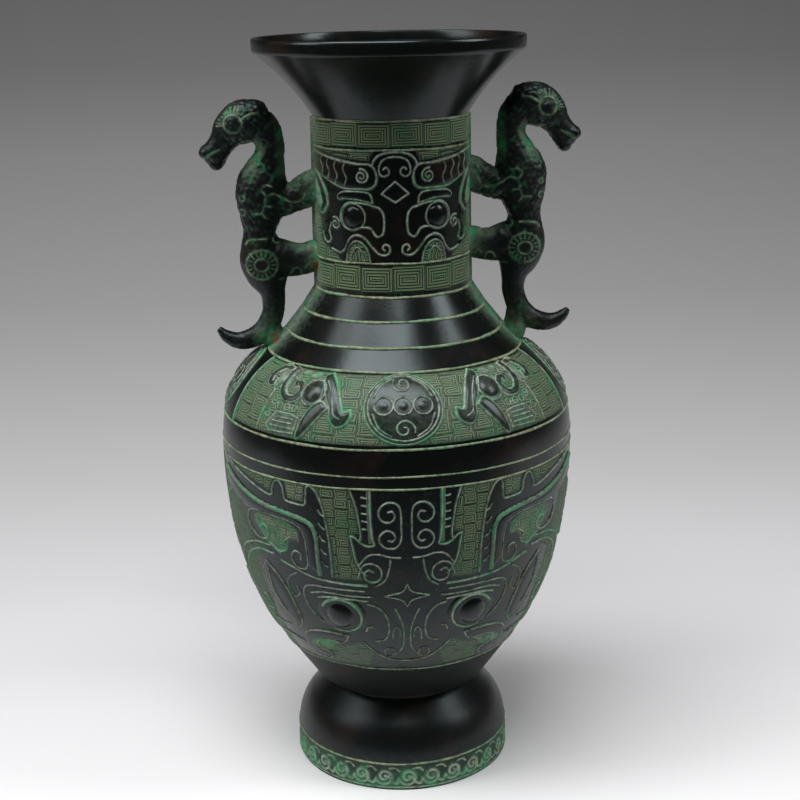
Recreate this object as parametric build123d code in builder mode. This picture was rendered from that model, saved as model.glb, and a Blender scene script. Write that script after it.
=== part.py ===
from build123d import *
import math
import os

# Bronze vase of hu form: five cast rings that lap inside one another, and a beast handle on each side.
# Millimetres, +Z up, origin at the centre of the foot's underside, front towards -Y, handles along X.

# Heights of the body's stretches, from the foot up
foot_band_height = 14.0  # scroll band round the foot
foot_upright = 25.0  # straight wall up to the corner of the domed skirt
foot_height = 42.0  # underside to the waist seam
belly_turn_height = 3.0  # waist seam to the belly's lowest full ring
belly_plain_height = 23.0  # plain bowl under the mask band
belly_flank_height = 43.6  # lower part of the mask band
belly_crown_height = 55.2  # upper part of the mask band, up to the belly seam
fillet_height = 5.7  # narrow upright band over the belly seam
belt_height = 12.3  # plain belt
roundel_height = 29.3  # band with the roundels
low_step_height = 8.8  # plain cone steps, from the lowest up
middle_step_height = 10.4
high_step_height = 10.2
neck_low_height = 15.8  # lower fret band of the neck
neck_mask_height = 51.7  # mask zone of the neck
neck_high_height = 13.0  # upper fret band of the neck
flare_height = 30.0  # trumpet mouth
lip_height = 6.0  # upright edge of the mouth

# Radii of the body's outside
foot_radius = 53.5
foot_dome_radius = 17.0  # rounding between the foot's wall and its skirt
waist_radius = 37.0
belly_turn_radius = 43.5
belly_line_radius = 59.4  # line under the mask band
belly_radius = 85.3
crown_cones, flank_cones, dome_cones = 5, 5, 5  # cones that follow each curve of the belly and shoulder
belly_flank_inset = 6.4  # drawn in from the widest ring, half way down the mask band
belt_inset = 1.5  # drawn in from the widest ring, over the plain belt
shoulder_radius = 61.0
low_step_radius = 51.5
high_step_radius = 43.2
neck_radius = 36.6
flare_radius = 105.0  # sweep of the trumpet's outside
flare_edge_radius = 64.0
lip_radius = 64.5

# Wall, laps and seams
wall = 3.0
lap_depth = 6.0
lap_wall = 2.2
lap_fit = 0.1
bead_radius = 1.1  # brazed bead in each seam
seat_fit = 0.15  # between curved faces that are brazed together
ridge_radius = 0.8  # cast string lines

# Floor plate in the foot
plate_recess = 6.0
plate_thickness = 3.0
plate_ledge = 2.5
plate_fit = 0.1
plate_fillet = 2.0

# Fixing of the handles
handle_stagger = 5.0  # the right handle sits this much higher
upper_tenon_rise = 49.5  # above the neck seam
leg_spacing = 32.0
tenon_radius = 4.0
tenon_fit = 0.1
saddle_thickness = 2.4  # brazed pad between a leg and the neck
saddle_half_height = 9.6
saddle_half_width = 8.6
washer_radius = 7.5
washer_thickness = 2.0
rivet_radius = 5.2
rivet_height = 1.6
dowel_radius = 1.6
dowel_fit = 0.1
dowel_reach = 7.0  # into the tail, from the shoulder's skin
tail_seat_station = 5  # spine station over the seat, counted from the tail's tip
tail_seat_half_width = 4.8
tail_seat_half_height = 6.0

# Beast's tail: reach and rise from the shoulder ring, half height, half width
tail = [
    (24.2, 11.7, 1.4, 1.4),
    (20.8, 8.1, 2.9, 2.9),
    (16.0, 5.7, 4.0, 3.8),
    (10.4, 5.9, 4.7, 4.4),
    (4.4, 8.5, 5.2, 4.8),
    (-0.4, 13.9, 5.4, 5.2),
]
# Haunch: reach from the neck's skin, rise from the lower leg, half height, half width
haunch = [
    (21.6, -25.6, 5.4, 5.4),
    (21.8, -18.0, 6.2, 6.2),
    (23.6, -10.4, 10.0, 8.2),
    (25.6, -1.6, 11.4, 9.4),
    (26.6, 6.2, 9.4, 8.6),
]
# Chest and neck up to the crown, from the upper leg
chest_and_neck = [
    (26.8, -20.2, 7.8, 7.8),
    (26.0, -12.2, 10.3, 8.6),
    (25.4, -3.6, 12.2, 9.6),
    (23.8, 4.6, 11.3, 9.0),
    (22.0, 11.4, 9.2, 7.8),
    (21.0, 18.2, 8.0, 7.0),
    (22.0, 25.0, 8.0, 7.2),
    (25.4, 31.0, 7.6, 7.2),
]
# Head from the poll to the nose, measured from the upper leg as well
head = [
    (21.7, 36.1, 5.1, 4.2),
    (24.2, 34.0, 9.3, 7.6),
    (28.1, 30.9, 11.9, 9.5),
    (32.3, 27.4, 12.0, 9.6),
    (36.6, 24.0, 9.6, 8.4),
    (41.4, 20.8, 6.9, 6.4),
    (44.5, 18.0, 6.4, 5.9),
    (47.4, 15.2, 7.0, 5.6),
    (49.8, 12.9, 5.4, 4.4),
]
eye_reach = 35.4
eye_rise = 30.8
eye_radius = 3.4
eye_offset = 7.4  # eyeball's centre from the beast's middle plane
leg_root_reach = 24.0
leg_half_width = 7.0
upper_leg_half_height = 7.8
lower_leg_half_height = 8.8

# Cast relief, drawn flat: distance round the band at its widest ring, distance up the band's profile
relief_height = 1.0
oval_corners = 20
mask_eye_place = (34.5, 37.8)
mask_eye_half_width = 11.2
mask_eye_half_height = 8.8
mask_ball_radius = 6.9
mask_ball_rise = 4.2
mask_horn = [
    (43.0, 58.6),
    (42.8, 79.0),
    (45.4, 84.6),
    (60.0, 88.2),
    (92.0, 93.0),
    (110.0, 97.6),
    (110.0, 91.4),
    (84.0, 85.0),
    (58.0, 84.4),
    (50.4, 80.6),
    (49.0, 63.4),
]
mask_brow = [(17.0, 49.6), (42.0, 49.8), (50.0, 48.4), (52.4, 51.2), (35.0, 52.6), (20.0, 52.6)]
mask_jaw = [
    (33.0, 24.5),
    (45.0, 25.4),
    (57.0, 23.6),
    (66.0, 15.4),
    (61.0, 5.6),
    (51.0, 5.4),
    (57.2, 13.8),
    (46.0, 19.8),
    (37.0, 19.6),
]
mask_ear = [(60.0, 57.4), (66.0, 55.2), (70.0, 49.0), (67.4, 41.6), (60.4, 38.6), (57.6, 44.0)]
roundel_ring = 75.0  # ring of the shoulder that the beasts are drawn on
roundel_rise = 19.6
roundel_radius = 17.6
roundel_boss_spacing = 8.7
roundel_boss_radius = 3.2
roundel_boss_rise = 2.2
beast_outline = [
    (38.0, 36.2),
    (29.6, 25.0),
    (26.0, 16.4),
    (23.2, 15.0),
    (25.6, 9.8),
    (30.6, 9.6),
    (34.2, 17.6),
    (44.6, 3.2),
    (47.2, 3.2),
    (47.4, 13.8),
    (61.4, 13.4),
    (63.0, 3.2),
    (68.2, 3.2),
    (70.0, 15.4),
    (82.0, 33.0),
    (72.0, 36.2),
    (56.0, 32.2),
    (46.0, 36.2),
]
beast_eye_place = (43.3, 24.2)
beast_eye_radius = 4.6
beast_eye_height = 2.8

# Levels of the rings above the foot's underside
waist_level = foot_height
belly_turn_level = waist_level + belly_turn_height
belly_line_level = belly_turn_level + belly_plain_height
flank_level = belly_line_level + belly_flank_height
belly_seam_level = flank_level + belly_crown_height
belt_level = belly_seam_level + fillet_height
roundel_level = belt_level + belt_height
shoulder_level = roundel_level + roundel_height
low_step_level = shoulder_level + low_step_height
high_step_level = low_step_level + middle_step_height
neck_seam_level = high_step_level + high_step_height
neck_low_level = neck_seam_level + neck_low_height
neck_high_level = neck_low_level + neck_mask_height
mouth_seam_level = neck_high_level + neck_high_height
lip_level = mouth_seam_level + flare_height
rim_level = lip_level + lip_height
upper_tenon_level = neck_seam_level + upper_tenon_rise
lower_tenon_level = upper_tenon_level - leg_spacing
belly_flank_radius = belly_radius - belly_flank_inset
belt_radius = belly_radius - belt_inset
neck_bore = neck_radius - wall
saddle_face = neck_radius + saddle_thickness
washer_face = neck_bore - washer_thickness

# Outside of the two bands that carry relief
with BuildLine() as belly_sweep:
    crown = TangentArc(
        (belly_radius, belly_seam_level), (belly_flank_radius, flank_level), tangent=(0, -1)
    )
    flank = TangentArc(crown @ 1, (belly_line_radius, belly_line_level), tangent=crown % 1)

with BuildLine() as mask_band:
    Polyline(
        *(crown @ (step / crown_cones) for step in range(crown_cones)),
        *(flank @ (step / flank_cones) for step in range(flank_cones + 1)),
    )

with BuildLine() as belt_line:
    belt = TangentArc((belly_radius, belt_level), (belt_radius, roundel_level), tangent=(0, 1))

with BuildLine() as shoulder_sweep:
    dome = TangentArc(belt @ 1, (shoulder_radius, shoulder_level), tangent=belt % 1)

with BuildLine() as roundel_band:
    Polyline(*(dome @ (step / dome_cones) for step in range(dome_cones + 1)))

# Outside of the whole body, as one line from the foot to the rim
with BuildLine() as outline:
    FilletPolyline(
        (foot_radius, 0),
        (foot_radius, foot_upright),
        (waist_radius, waist_level),
        radius=foot_dome_radius,
    )
    Polyline(
        (waist_radius, waist_level),
        (belly_turn_radius, belly_turn_level),
        (belly_line_radius, belly_line_level),
    )
    add(mask_band.line)
    Line((belly_radius, belly_seam_level), (belly_radius, belt_level))
    add(belt_line.line)
    add(roundel_band.line)
    Polyline(
        (shoulder_radius, shoulder_level),
        (low_step_radius, low_step_level),
        (high_step_radius, high_step_level),
        (neck_radius, neck_seam_level),
        (neck_radius, mouth_seam_level),
    )
    RadiusArc((neck_radius, mouth_seam_level), (flare_edge_radius, lip_level), radius=flare_radius)
    Polyline((flare_edge_radius, lip_level), (lip_radius, rim_level))

# Cut face of the wall
with BuildSketch() as wall_face:
    with BuildLine():
        offset(outline.wire(), amount=wall, side=Side.LEFT)
    make_face()


def wall_between(low, high):
    # Cut face of the wall from one level to another
    with BuildSketch() as band:
        add(wall_face.sketch)
        with Locations((0, low)):
            Rectangle(
                belly_radius + lip_radius,
                high - low,
                align=Align.MIN,
                mode=Mode.INTERSECT,
            )
    return band.sketch


def lap_ring(outside, level, upward):
    # Spigot inside a seam and the ledge that carries it, added to the sketch in hand
    spigot_side, ledge_side = (Align.MIN, Align.MAX) if upward else (Align.MAX, Align.MIN)
    with Locations((outside - wall - lap_fit - lap_wall, level)):
        Rectangle(lap_wall, lap_depth, align=(Align.MIN, spigot_side))
        Rectangle(lap_wall + lap_fit + wall / 2, lap_wall, align=(Align.MIN, ledge_side))


def bead_grooves(*seams):
    # Round groove for the bead at each seam, cut from the sketch in hand
    with Locations(*seams):
        Circle(bead_radius + seat_fit, mode=Mode.SUBTRACT)


def string_lines(*rings):
    # Cast string line at each ring, added to the sketch in hand
    with Locations(*rings):
        Circle(ridge_radius)


mouth_seam = (neck_radius, mouth_seam_level)
neck_seam = (neck_radius, neck_seam_level)
belly_seam = (belly_radius, belly_seam_level)
waist_seam = (waist_radius, waist_level)
neck_rings = [(neck_radius, neck_low_level), (neck_radius, neck_high_level)]
shoulder_rings = [
    (belly_radius, belt_level),
    (belt_radius, roundel_level),
    (shoulder_radius, shoulder_level),
    (low_step_radius, low_step_level),
    (high_step_radius, high_step_level),
]

# Space that the body fills, with its string lines, which the handles and pads are cut to
with BuildPart() as filled_body:
    with BuildSketch(Plane.XZ):
        with BuildLine():
            add(outline.line)
            Polyline((lip_radius, rim_level), (0, rim_level), (0, 0), (foot_radius, 0))
        make_face()
        string_lines(*neck_rings, *shoulder_rings)
        offset(amount=seat_fit)
        with Locations((0, -foot_height)):
            Rectangle(
                belly_radius + lip_radius, rim_level + 2 * foot_height, align=Align.MIN, mode=Mode.INTERSECT
            )
    revolve(axis=Axis.Z)

# Foot: scroll band, domed skirt, collar into the belly and a ledge for the floor plate
foot_bore = foot_radius - wall
with BuildPart() as foot_ring:
    with BuildSketch(Plane.XZ):
        add(wall_between(0, waist_level))
        lap_ring(*waist_seam, upward=True)
        with Locations((foot_bore - plate_ledge, plate_recess + plate_thickness)):
            Rectangle(plate_ledge + wall / 2, plate_ledge, align=Align.MIN)
        string_lines((foot_radius, foot_band_height))
        bead_grooves(waist_seam)
    revolve(axis=Axis.Z)

# Floor plate, pushed in from below against the ledge, and the braze round its edge
plate_radius = foot_bore - plate_fit
with BuildPart() as floor_plate:
    with BuildSketch(Plane.XY.offset(plate_recess)):
        Circle(plate_radius)
    extrude(amount=plate_thickness)

with BuildPart() as floor_braze:
    with BuildSketch(Plane.XZ):
        with BuildLine():
            Polyline(
                (foot_bore, plate_recess),
                (foot_bore - plate_fillet, plate_recess),
                (foot_bore, plate_recess - plate_fillet),
                close=True,
            )
        make_face()
    revolve(axis=Axis.Z)

# Belly: bowl with the large mask, from the waist up to its seam
with BuildPart() as belly_bowl:
    with BuildSketch(Plane.XZ):
        add(wall_between(waist_level, belly_seam_level))
        lap_ring(*belly_seam, upward=True)
        string_lines((belly_line_radius, belly_line_level))
        bead_grooves(waist_seam, belly_seam)
    revolve(axis=Axis.Z)

# Shoulder: belt, roundel band and three plain steps
with BuildPart() as shoulder_dome:
    with BuildSketch(Plane.XZ):
        add(wall_between(belly_seam_level, neck_seam_level))
        lap_ring(*neck_seam, upward=True)
        string_lines(*shoulder_rings)
        bead_grooves(belly_seam, neck_seam)
    revolve(axis=Axis.Z)

# Neck: plain tube with string lines between its three zones
with BuildPart() as neck_sleeve:
    with BuildSketch(Plane.XZ):
        add(wall_between(neck_seam_level, mouth_seam_level))
        string_lines(*neck_rings)
        bead_grooves(neck_seam, mouth_seam)
    revolve(axis=Axis.Z)

# Mouth: trumpet with an upright lip, lapped down into the neck
with BuildPart() as mouth_flare:
    with BuildSketch(Plane.XZ):
        add(wall_between(mouth_seam_level, rim_level))
        lap_ring(*mouth_seam, upward=False)
        bead_grooves(mouth_seam)
    revolve(axis=Axis.Z)


def goes_up(band):
    # Whether a band's profile is drawn from its foot to its top
    return (band.wire() @ 1).Y > (band.wire() @ 0).Y


def skin_at(band, rise):
    # Point on a band's profile, a distance up from its foot, and the direction up it there
    wire = band.wire()
    along = rise / wire.length
    if goes_up(band):
        return wire @ along, wire % along
    return wire @ (1 - along), wire % (1 - along) * -1


def relief_shell(band, height):
    # Skin of a band, from the middle of its wall out to a height over it
    inner, outer = (Side.LEFT, Side.RIGHT) if goes_up(band) else (Side.RIGHT, Side.LEFT)
    with BuildPart() as shell:
        with BuildSketch(Plane.XZ):
            for amount, side in ((wall / 2, inner), (height, outer)):
                with BuildLine():
                    offset(band.wire(), amount=amount, side=side)
                make_face()
        revolve(axis=Axis.Z)
    return shell.part


def outward_plane(angle):
    # Upright plane on the vase's axis, looking outwards at an angle from the front
    across = (math.cos(angle), math.sin(angle), 0)
    return Plane(origin=(0, 0, 0), x_dir=across, z_dir=(math.sin(angle), -math.cos(angle), 0))


def raised_outline(shell, band, ring, points):
    # Flat-topped form inside a line drawn flat on a band
    places = [(x / ring, skin_at(band, rise)[0]) for x, rise in points]
    middle = sum(angle for angle, _ in places) / len(places)
    with BuildPart() as form:
        with BuildSketch(outward_plane(middle)):
            with BuildLine():
                Polyline(*[(skin.X * math.sin(angle - middle), skin.Y) for angle, skin in places], close=True)
            make_face()
        extrude(amount=belly_radius + wall)
    return form.part & shell


def oval_points(place, half_width, half_height):
    # Corners of an oval drawn flat on a band
    turns = [2 * math.pi * step / oval_corners for step in range(oval_corners)]
    return [
        (place[0] + half_width * math.cos(turn), place[1] + half_height * math.sin(turn)) for turn in turns
    ]


def raised_ball(shell, band, ring, place, radius, height):
    # Round boss with a given foot and height, its hidden part cut off inside the wall
    skin, upward = skin_at(band, place[1])
    ball_radius = (radius**2 + height**2) / (2 * height)
    reach = skin.X + upward.Y * (height - ball_radius)
    level = skin.Y - upward.X * (height - ball_radius)
    angle = place[0] / ring
    with BuildPart() as form:
        with Locations((reach * math.sin(angle), -reach * math.cos(angle), level)):
            Sphere(ball_radius)
    return form.part & shell


def four_round(forms):
    # Forms drawn right of the front's middle, with their mirror images on the left and at the back
    front = forms + [mirror(form, about=Plane.YZ) for form in forms]
    return front + [mirror(form, about=Plane.XZ) for form in front]


def with_relief(piece, forms):
    # Piece with the forms cast on it, joined one at a time
    for form in forms:
        piece = piece.fuse(form)
    return piece


# Large mask on the front and back of the belly
low_shell, high_shell = relief_shell(mask_band, relief_height), relief_shell(mask_band, mask_ball_rise)
mask_eye = oval_points(mask_eye_place, mask_eye_half_width, mask_eye_half_height)
mask_forms = [
    raised_outline(low_shell, mask_band, belly_radius, points)
    for points in (mask_horn, mask_brow, mask_jaw, mask_ear, mask_eye)
]
mask_forms.append(
    raised_ball(high_shell, mask_band, belly_radius, mask_eye_place, mask_ball_radius, mask_ball_rise)
)
masked_belly = with_relief(belly_bowl.part, four_round(mask_forms))

# Four roundels with three bosses each, and four beasts between them
low_shell = relief_shell(roundel_band, relief_height)
high_shell = relief_shell(roundel_band, beast_eye_height)
beast_forms = [
    raised_outline(low_shell, roundel_band, roundel_ring, beast_outline),
    raised_ball(high_shell, roundel_band, roundel_ring, beast_eye_place, beast_eye_radius, beast_eye_height),
]
roundel_forms = four_round(beast_forms)
for quarter in range(4):
    middle = quarter * roundel_ring * math.pi / 2
    disc = oval_points((middle, roundel_rise), roundel_radius, roundel_radius)
    roundel_forms.append(raised_outline(low_shell, roundel_band, roundel_ring, disc))
    for side in (-1, 0, 1):
        place = (middle + side * roundel_boss_spacing, roundel_rise)
        roundel_forms.append(
            raised_ball(high_shell, roundel_band, roundel_ring, place, roundel_boss_radius, roundel_boss_rise)
        )


def seam_bead(seam):
    # Brazed ring, half sunk in the groove of its seam
    with BuildPart() as bead:
        with BuildSketch(Plane.XZ):
            with Locations(seam):
                Circle(bead_radius)
        revolve(axis=Axis.Z)
    return bead.part


def tenon_planes(lift):
    # Upper and lower fixing of the right handle: on the vase's axis, looking outwards
    levels = (upper_tenon_level + lift, lower_tenon_level + lift)
    return [Plane(origin=(0, 0, level), x_dir=(0, 1, 0), z_dir=(1, 0, 0)) for level in levels]


def tail_seat_plane(lift):
    # Middle of the lowest step, looking along the tail's seat to the bend of the tail
    bend_reach, bend_rise = tail[tail_seat_station][:2]
    bend = Vector(shoulder_radius + bend_reach, 0, shoulder_level + lift + bend_rise)
    skin = Vector(
        (shoulder_radius + low_step_radius) / 2, 0, (shoulder_level + low_step_level) / 2
    )
    return Plane(origin=skin, x_dir=(0, 1, 0), z_dir=bend - skin), (bend - skin).length


def loft_along(stations):
    # Body with an oval section square to its spine at every station, in the part in hand
    points = [Vector(reach, 0, level) for reach, level, _, _ in stations]
    sections = []
    for here, (_, _, half_height, half_width) in enumerate(stations):
        before, after = points[max(here - 1, 0)], points[min(here + 1, len(points) - 1)]
        with BuildSketch(Plane(origin=points[here], x_dir=(0, 1, 0), z_dir=after - before)) as oval:
            Ellipse(half_width, half_height)
        sections.append(oval.sketch)
    loft(sections)


def placed(stations, radius, level):
    # Stations measured from a ring of the vase, in the vase's frame
    return [(radius + reach, level + rise, high, wide) for reach, rise, high, wide in stations]


def beast_handle(lift):
    # Right handle in one casting: beast, tail seat, two legs and their riveted tenons
    upper, lower = upper_tenon_level + lift, lower_tenon_level + lift
    seat_plane, seat_length = tail_seat_plane(lift)
    with BuildPart() as beast:
        loft_along(
            placed(tail, shoulder_radius, shoulder_level + lift)
            + placed(haunch, neck_radius, lower)
            + placed(chest_and_neck, neck_radius, upper)
        )
        loft_along(placed(head, neck_radius, upper))
        for side in (-1, 1):
            with Locations((neck_radius + eye_reach, side * eye_offset, upper + eye_rise)):
                Sphere(eye_radius)
        for level, half_height in ((upper, upper_leg_half_height), (lower, lower_leg_half_height)):
            leg = Plane(origin=(saddle_face, 0, level), x_dir=(0, 1, 0), z_dir=(1, 0, 0))
            with BuildSketch(leg):
                Ellipse(leg_half_width, half_height)
            extrude(amount=leg_root_reach - saddle_thickness)
        with BuildSketch(seat_plane.offset(-wall)):
            Ellipse(tail_seat_half_width, tail_seat_half_height)
        extrude(amount=seat_length + wall)
        add(filled_body.part, mode=Mode.SUBTRACT)
        for plane in tenon_planes(lift):
            with BuildSketch(plane.offset(washer_face)):
                Circle(tenon_radius)
            extrude(amount=saddle_face + leg_half_width - washer_face)
            with BuildSketch(plane.offset(washer_face - rivet_height)):
                Circle(rivet_radius)
            extrude(amount=rivet_height)
        with BuildSketch(seat_plane.offset(-wall)):
            Circle(dowel_radius + dowel_fit)
        extrude(amount=wall + dowel_reach + dowel_fit, mode=Mode.SUBTRACT)
    return beast.part


def saddle_pads(lift):
    # Brazed pads that fill between the legs and the round neck
    with BuildPart() as pads:
        for plane in tenon_planes(lift):
            with BuildSketch(plane.offset(neck_bore)):
                Ellipse(saddle_half_width, saddle_half_height)
                Circle(tenon_radius + tenon_fit, mode=Mode.SUBTRACT)
            extrude(amount=saddle_face - neck_bore)
        add(filled_body.part, mode=Mode.SUBTRACT)
    return pads.part


def tenon_washers(lift):
    # Washers inside the neck, curved to its bore, under the riveted tenon ends
    with BuildPart() as washers:
        for plane in tenon_planes(lift):
            with BuildSketch(plane.offset(washer_face)):
                Circle(washer_radius)
                Circle(tenon_radius + tenon_fit, mode=Mode.SUBTRACT)
            extrude(amount=wall)
        Cylinder(
            neck_bore - seat_fit,
            rim_level,
            align=(Align.CENTER, Align.CENTER, Align.MIN),
            mode=Mode.INTERSECT,
        )
    return washers.part


def tail_dowel(lift):
    # Pin through the shoulder's wall into the tail
    seat_plane, _ = tail_seat_plane(lift)
    with BuildPart() as dowel:
        with BuildSketch(seat_plane.offset(-wall)):
            Circle(dowel_radius)
        extrude(amount=wall + dowel_reach)
    return dowel.part


def fixing_holes(lift):
    # Holes for the tenons and the dowel of the right handle, in the neck and the shoulder
    seat_plane, _ = tail_seat_plane(lift)
    with BuildPart() as holes:
        for plane in tenon_planes(lift):
            with BuildSketch(plane):
                Circle(tenon_radius + tenon_fit)
            extrude(amount=saddle_face)
        with BuildSketch(seat_plane.offset(-wall - bead_radius)):
            Circle(dowel_radius + dowel_fit)
        extrude(amount=wall + 2 * bead_radius)
    return holes.part


# The left handle is the right one mirrored and set lower
left_lift, right_lift = -handle_stagger / 2, handle_stagger / 2
with BuildPart() as all_holes:
    add(fixing_holes(right_lift))
    add(mirror(fixing_holes(left_lift), about=Plane.YZ))

with BuildPart() as drilled_neck:
    add(neck_sleeve.part)
    add(all_holes.part, mode=Mode.SUBTRACT)

with BuildPart() as drilled_shoulder:
    add(shoulder_dome.part)
    add(all_holes.part, mode=Mode.SUBTRACT)

pieces = {
    "foot_ring": foot_ring.part,
    "floor_plate": floor_plate.part,
    "floor_braze": floor_braze.part,
    "waist_seam_bead": seam_bead(waist_seam),
    "belly_bowl": masked_belly,
    "belly_seam_bead": seam_bead(belly_seam),
    "shoulder_dome": with_relief(drilled_shoulder.part, roundel_forms),
    "neck_seam_bead": seam_bead(neck_seam),
    "neck_sleeve": drilled_neck.part,
    "mouth_seam_bead": seam_bead(mouth_seam),
    "mouth_flare": mouth_flare.part,
}
for side, lift in (("left", left_lift), ("right", right_lift)):
    fittings = {
        "beast_handle": beast_handle(lift),
        "saddle_pads": saddle_pads(lift),
        "tenon_washers": tenon_washers(lift),
        "tail_dowel": tail_dowel(lift),
    }
    for name, part in fittings.items():
        pieces[f"{side}_{name}"] = part if side == "right" else mirror(part, about=Plane.YZ)

os.makedirs("parts", exist_ok=True)
for name, part in pieces.items():
    part.label = name
    export_step(part, f"parts/{name}.step")
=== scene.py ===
import bpy
import math
import numpy as np
from functools import partial
from mathutils import Matrix, Vector


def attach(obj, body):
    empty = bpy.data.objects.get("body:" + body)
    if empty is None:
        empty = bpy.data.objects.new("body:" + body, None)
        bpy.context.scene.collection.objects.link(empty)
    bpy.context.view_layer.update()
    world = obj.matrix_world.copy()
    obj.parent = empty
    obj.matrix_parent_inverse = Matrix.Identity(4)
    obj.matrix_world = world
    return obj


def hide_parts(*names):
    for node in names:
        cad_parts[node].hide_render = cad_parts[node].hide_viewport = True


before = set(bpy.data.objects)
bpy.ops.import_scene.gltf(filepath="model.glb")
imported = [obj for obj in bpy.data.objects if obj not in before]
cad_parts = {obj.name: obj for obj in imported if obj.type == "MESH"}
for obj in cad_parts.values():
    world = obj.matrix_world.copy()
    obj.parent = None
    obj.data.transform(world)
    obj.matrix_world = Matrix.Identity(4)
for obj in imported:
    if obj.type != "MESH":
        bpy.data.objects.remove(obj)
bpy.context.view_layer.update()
print("frame loaded")

mm = 0.001  # the vase is sized in millimetres; the stage, lamps and camera are in metres
wall = 3.0  # of every casting


def linearColour(hexText):
    parts = [int(hexText[i:i + 2], 16) / 255 for i in (1, 3, 5)]
    return tuple(c / 12.92 if c <= 0.04045 else ((c + 0.055) / 1.055) ** 2.4 for c in parts) + (1.0,)


def addNode(tree, kind, inputs=(), **settings):
    # inputs by place or by name: a socket is linked, a value is set
    node = tree.nodes.new("ShaderNode" + kind)
    for name, value in settings.items():
        setattr(node, name, value)
    for name, value in inputs.items() if isinstance(inputs, dict) else enumerate(inputs):
        if isinstance(value, bpy.types.NodeSocket):
            tree.links.new(value, node.inputs[name])
        else:
            node.inputs[name].default_value = value
    return node.outputs


# Materials

patina = {
    "black": "#0a0d0b", "brown": "#231812",  # waxed brown-black skin of old cast bronze
    "green": "#2b3f30", "emerald": "#3b7650",  # verdigris in the hollows
    "olive": "#728562", "groove": "#1a2117",  # squared spirals: dull green ridges, dark gaps
    # pale, gold and mint also paint a sheen on the raised forms where the rub is set
    "pale": "#a9b8a6", "gold": "#a8a47c", "mint": "#76ab86",  # rubbed crests of the cast lines
    "mottle": 26.0, "patch": 11.0, "grain": 2.6, "pitting": 0.7, "spiral": 0.25,  # pattern sizes in mm
    "glossRough": 0.16, "greenRough": 0.62, "bump": 0.18, "specular": 0.4, "sheen": "#d6e6ea",
    "cellShape": 1.4, "rust": "#6f3f1e", "stainReach": 4.2,
    "stains": ((-36.8, -6.0, 254.0), (-58.0, -6.0, 219.0)),  # by the joints of the left handle
}


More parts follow.
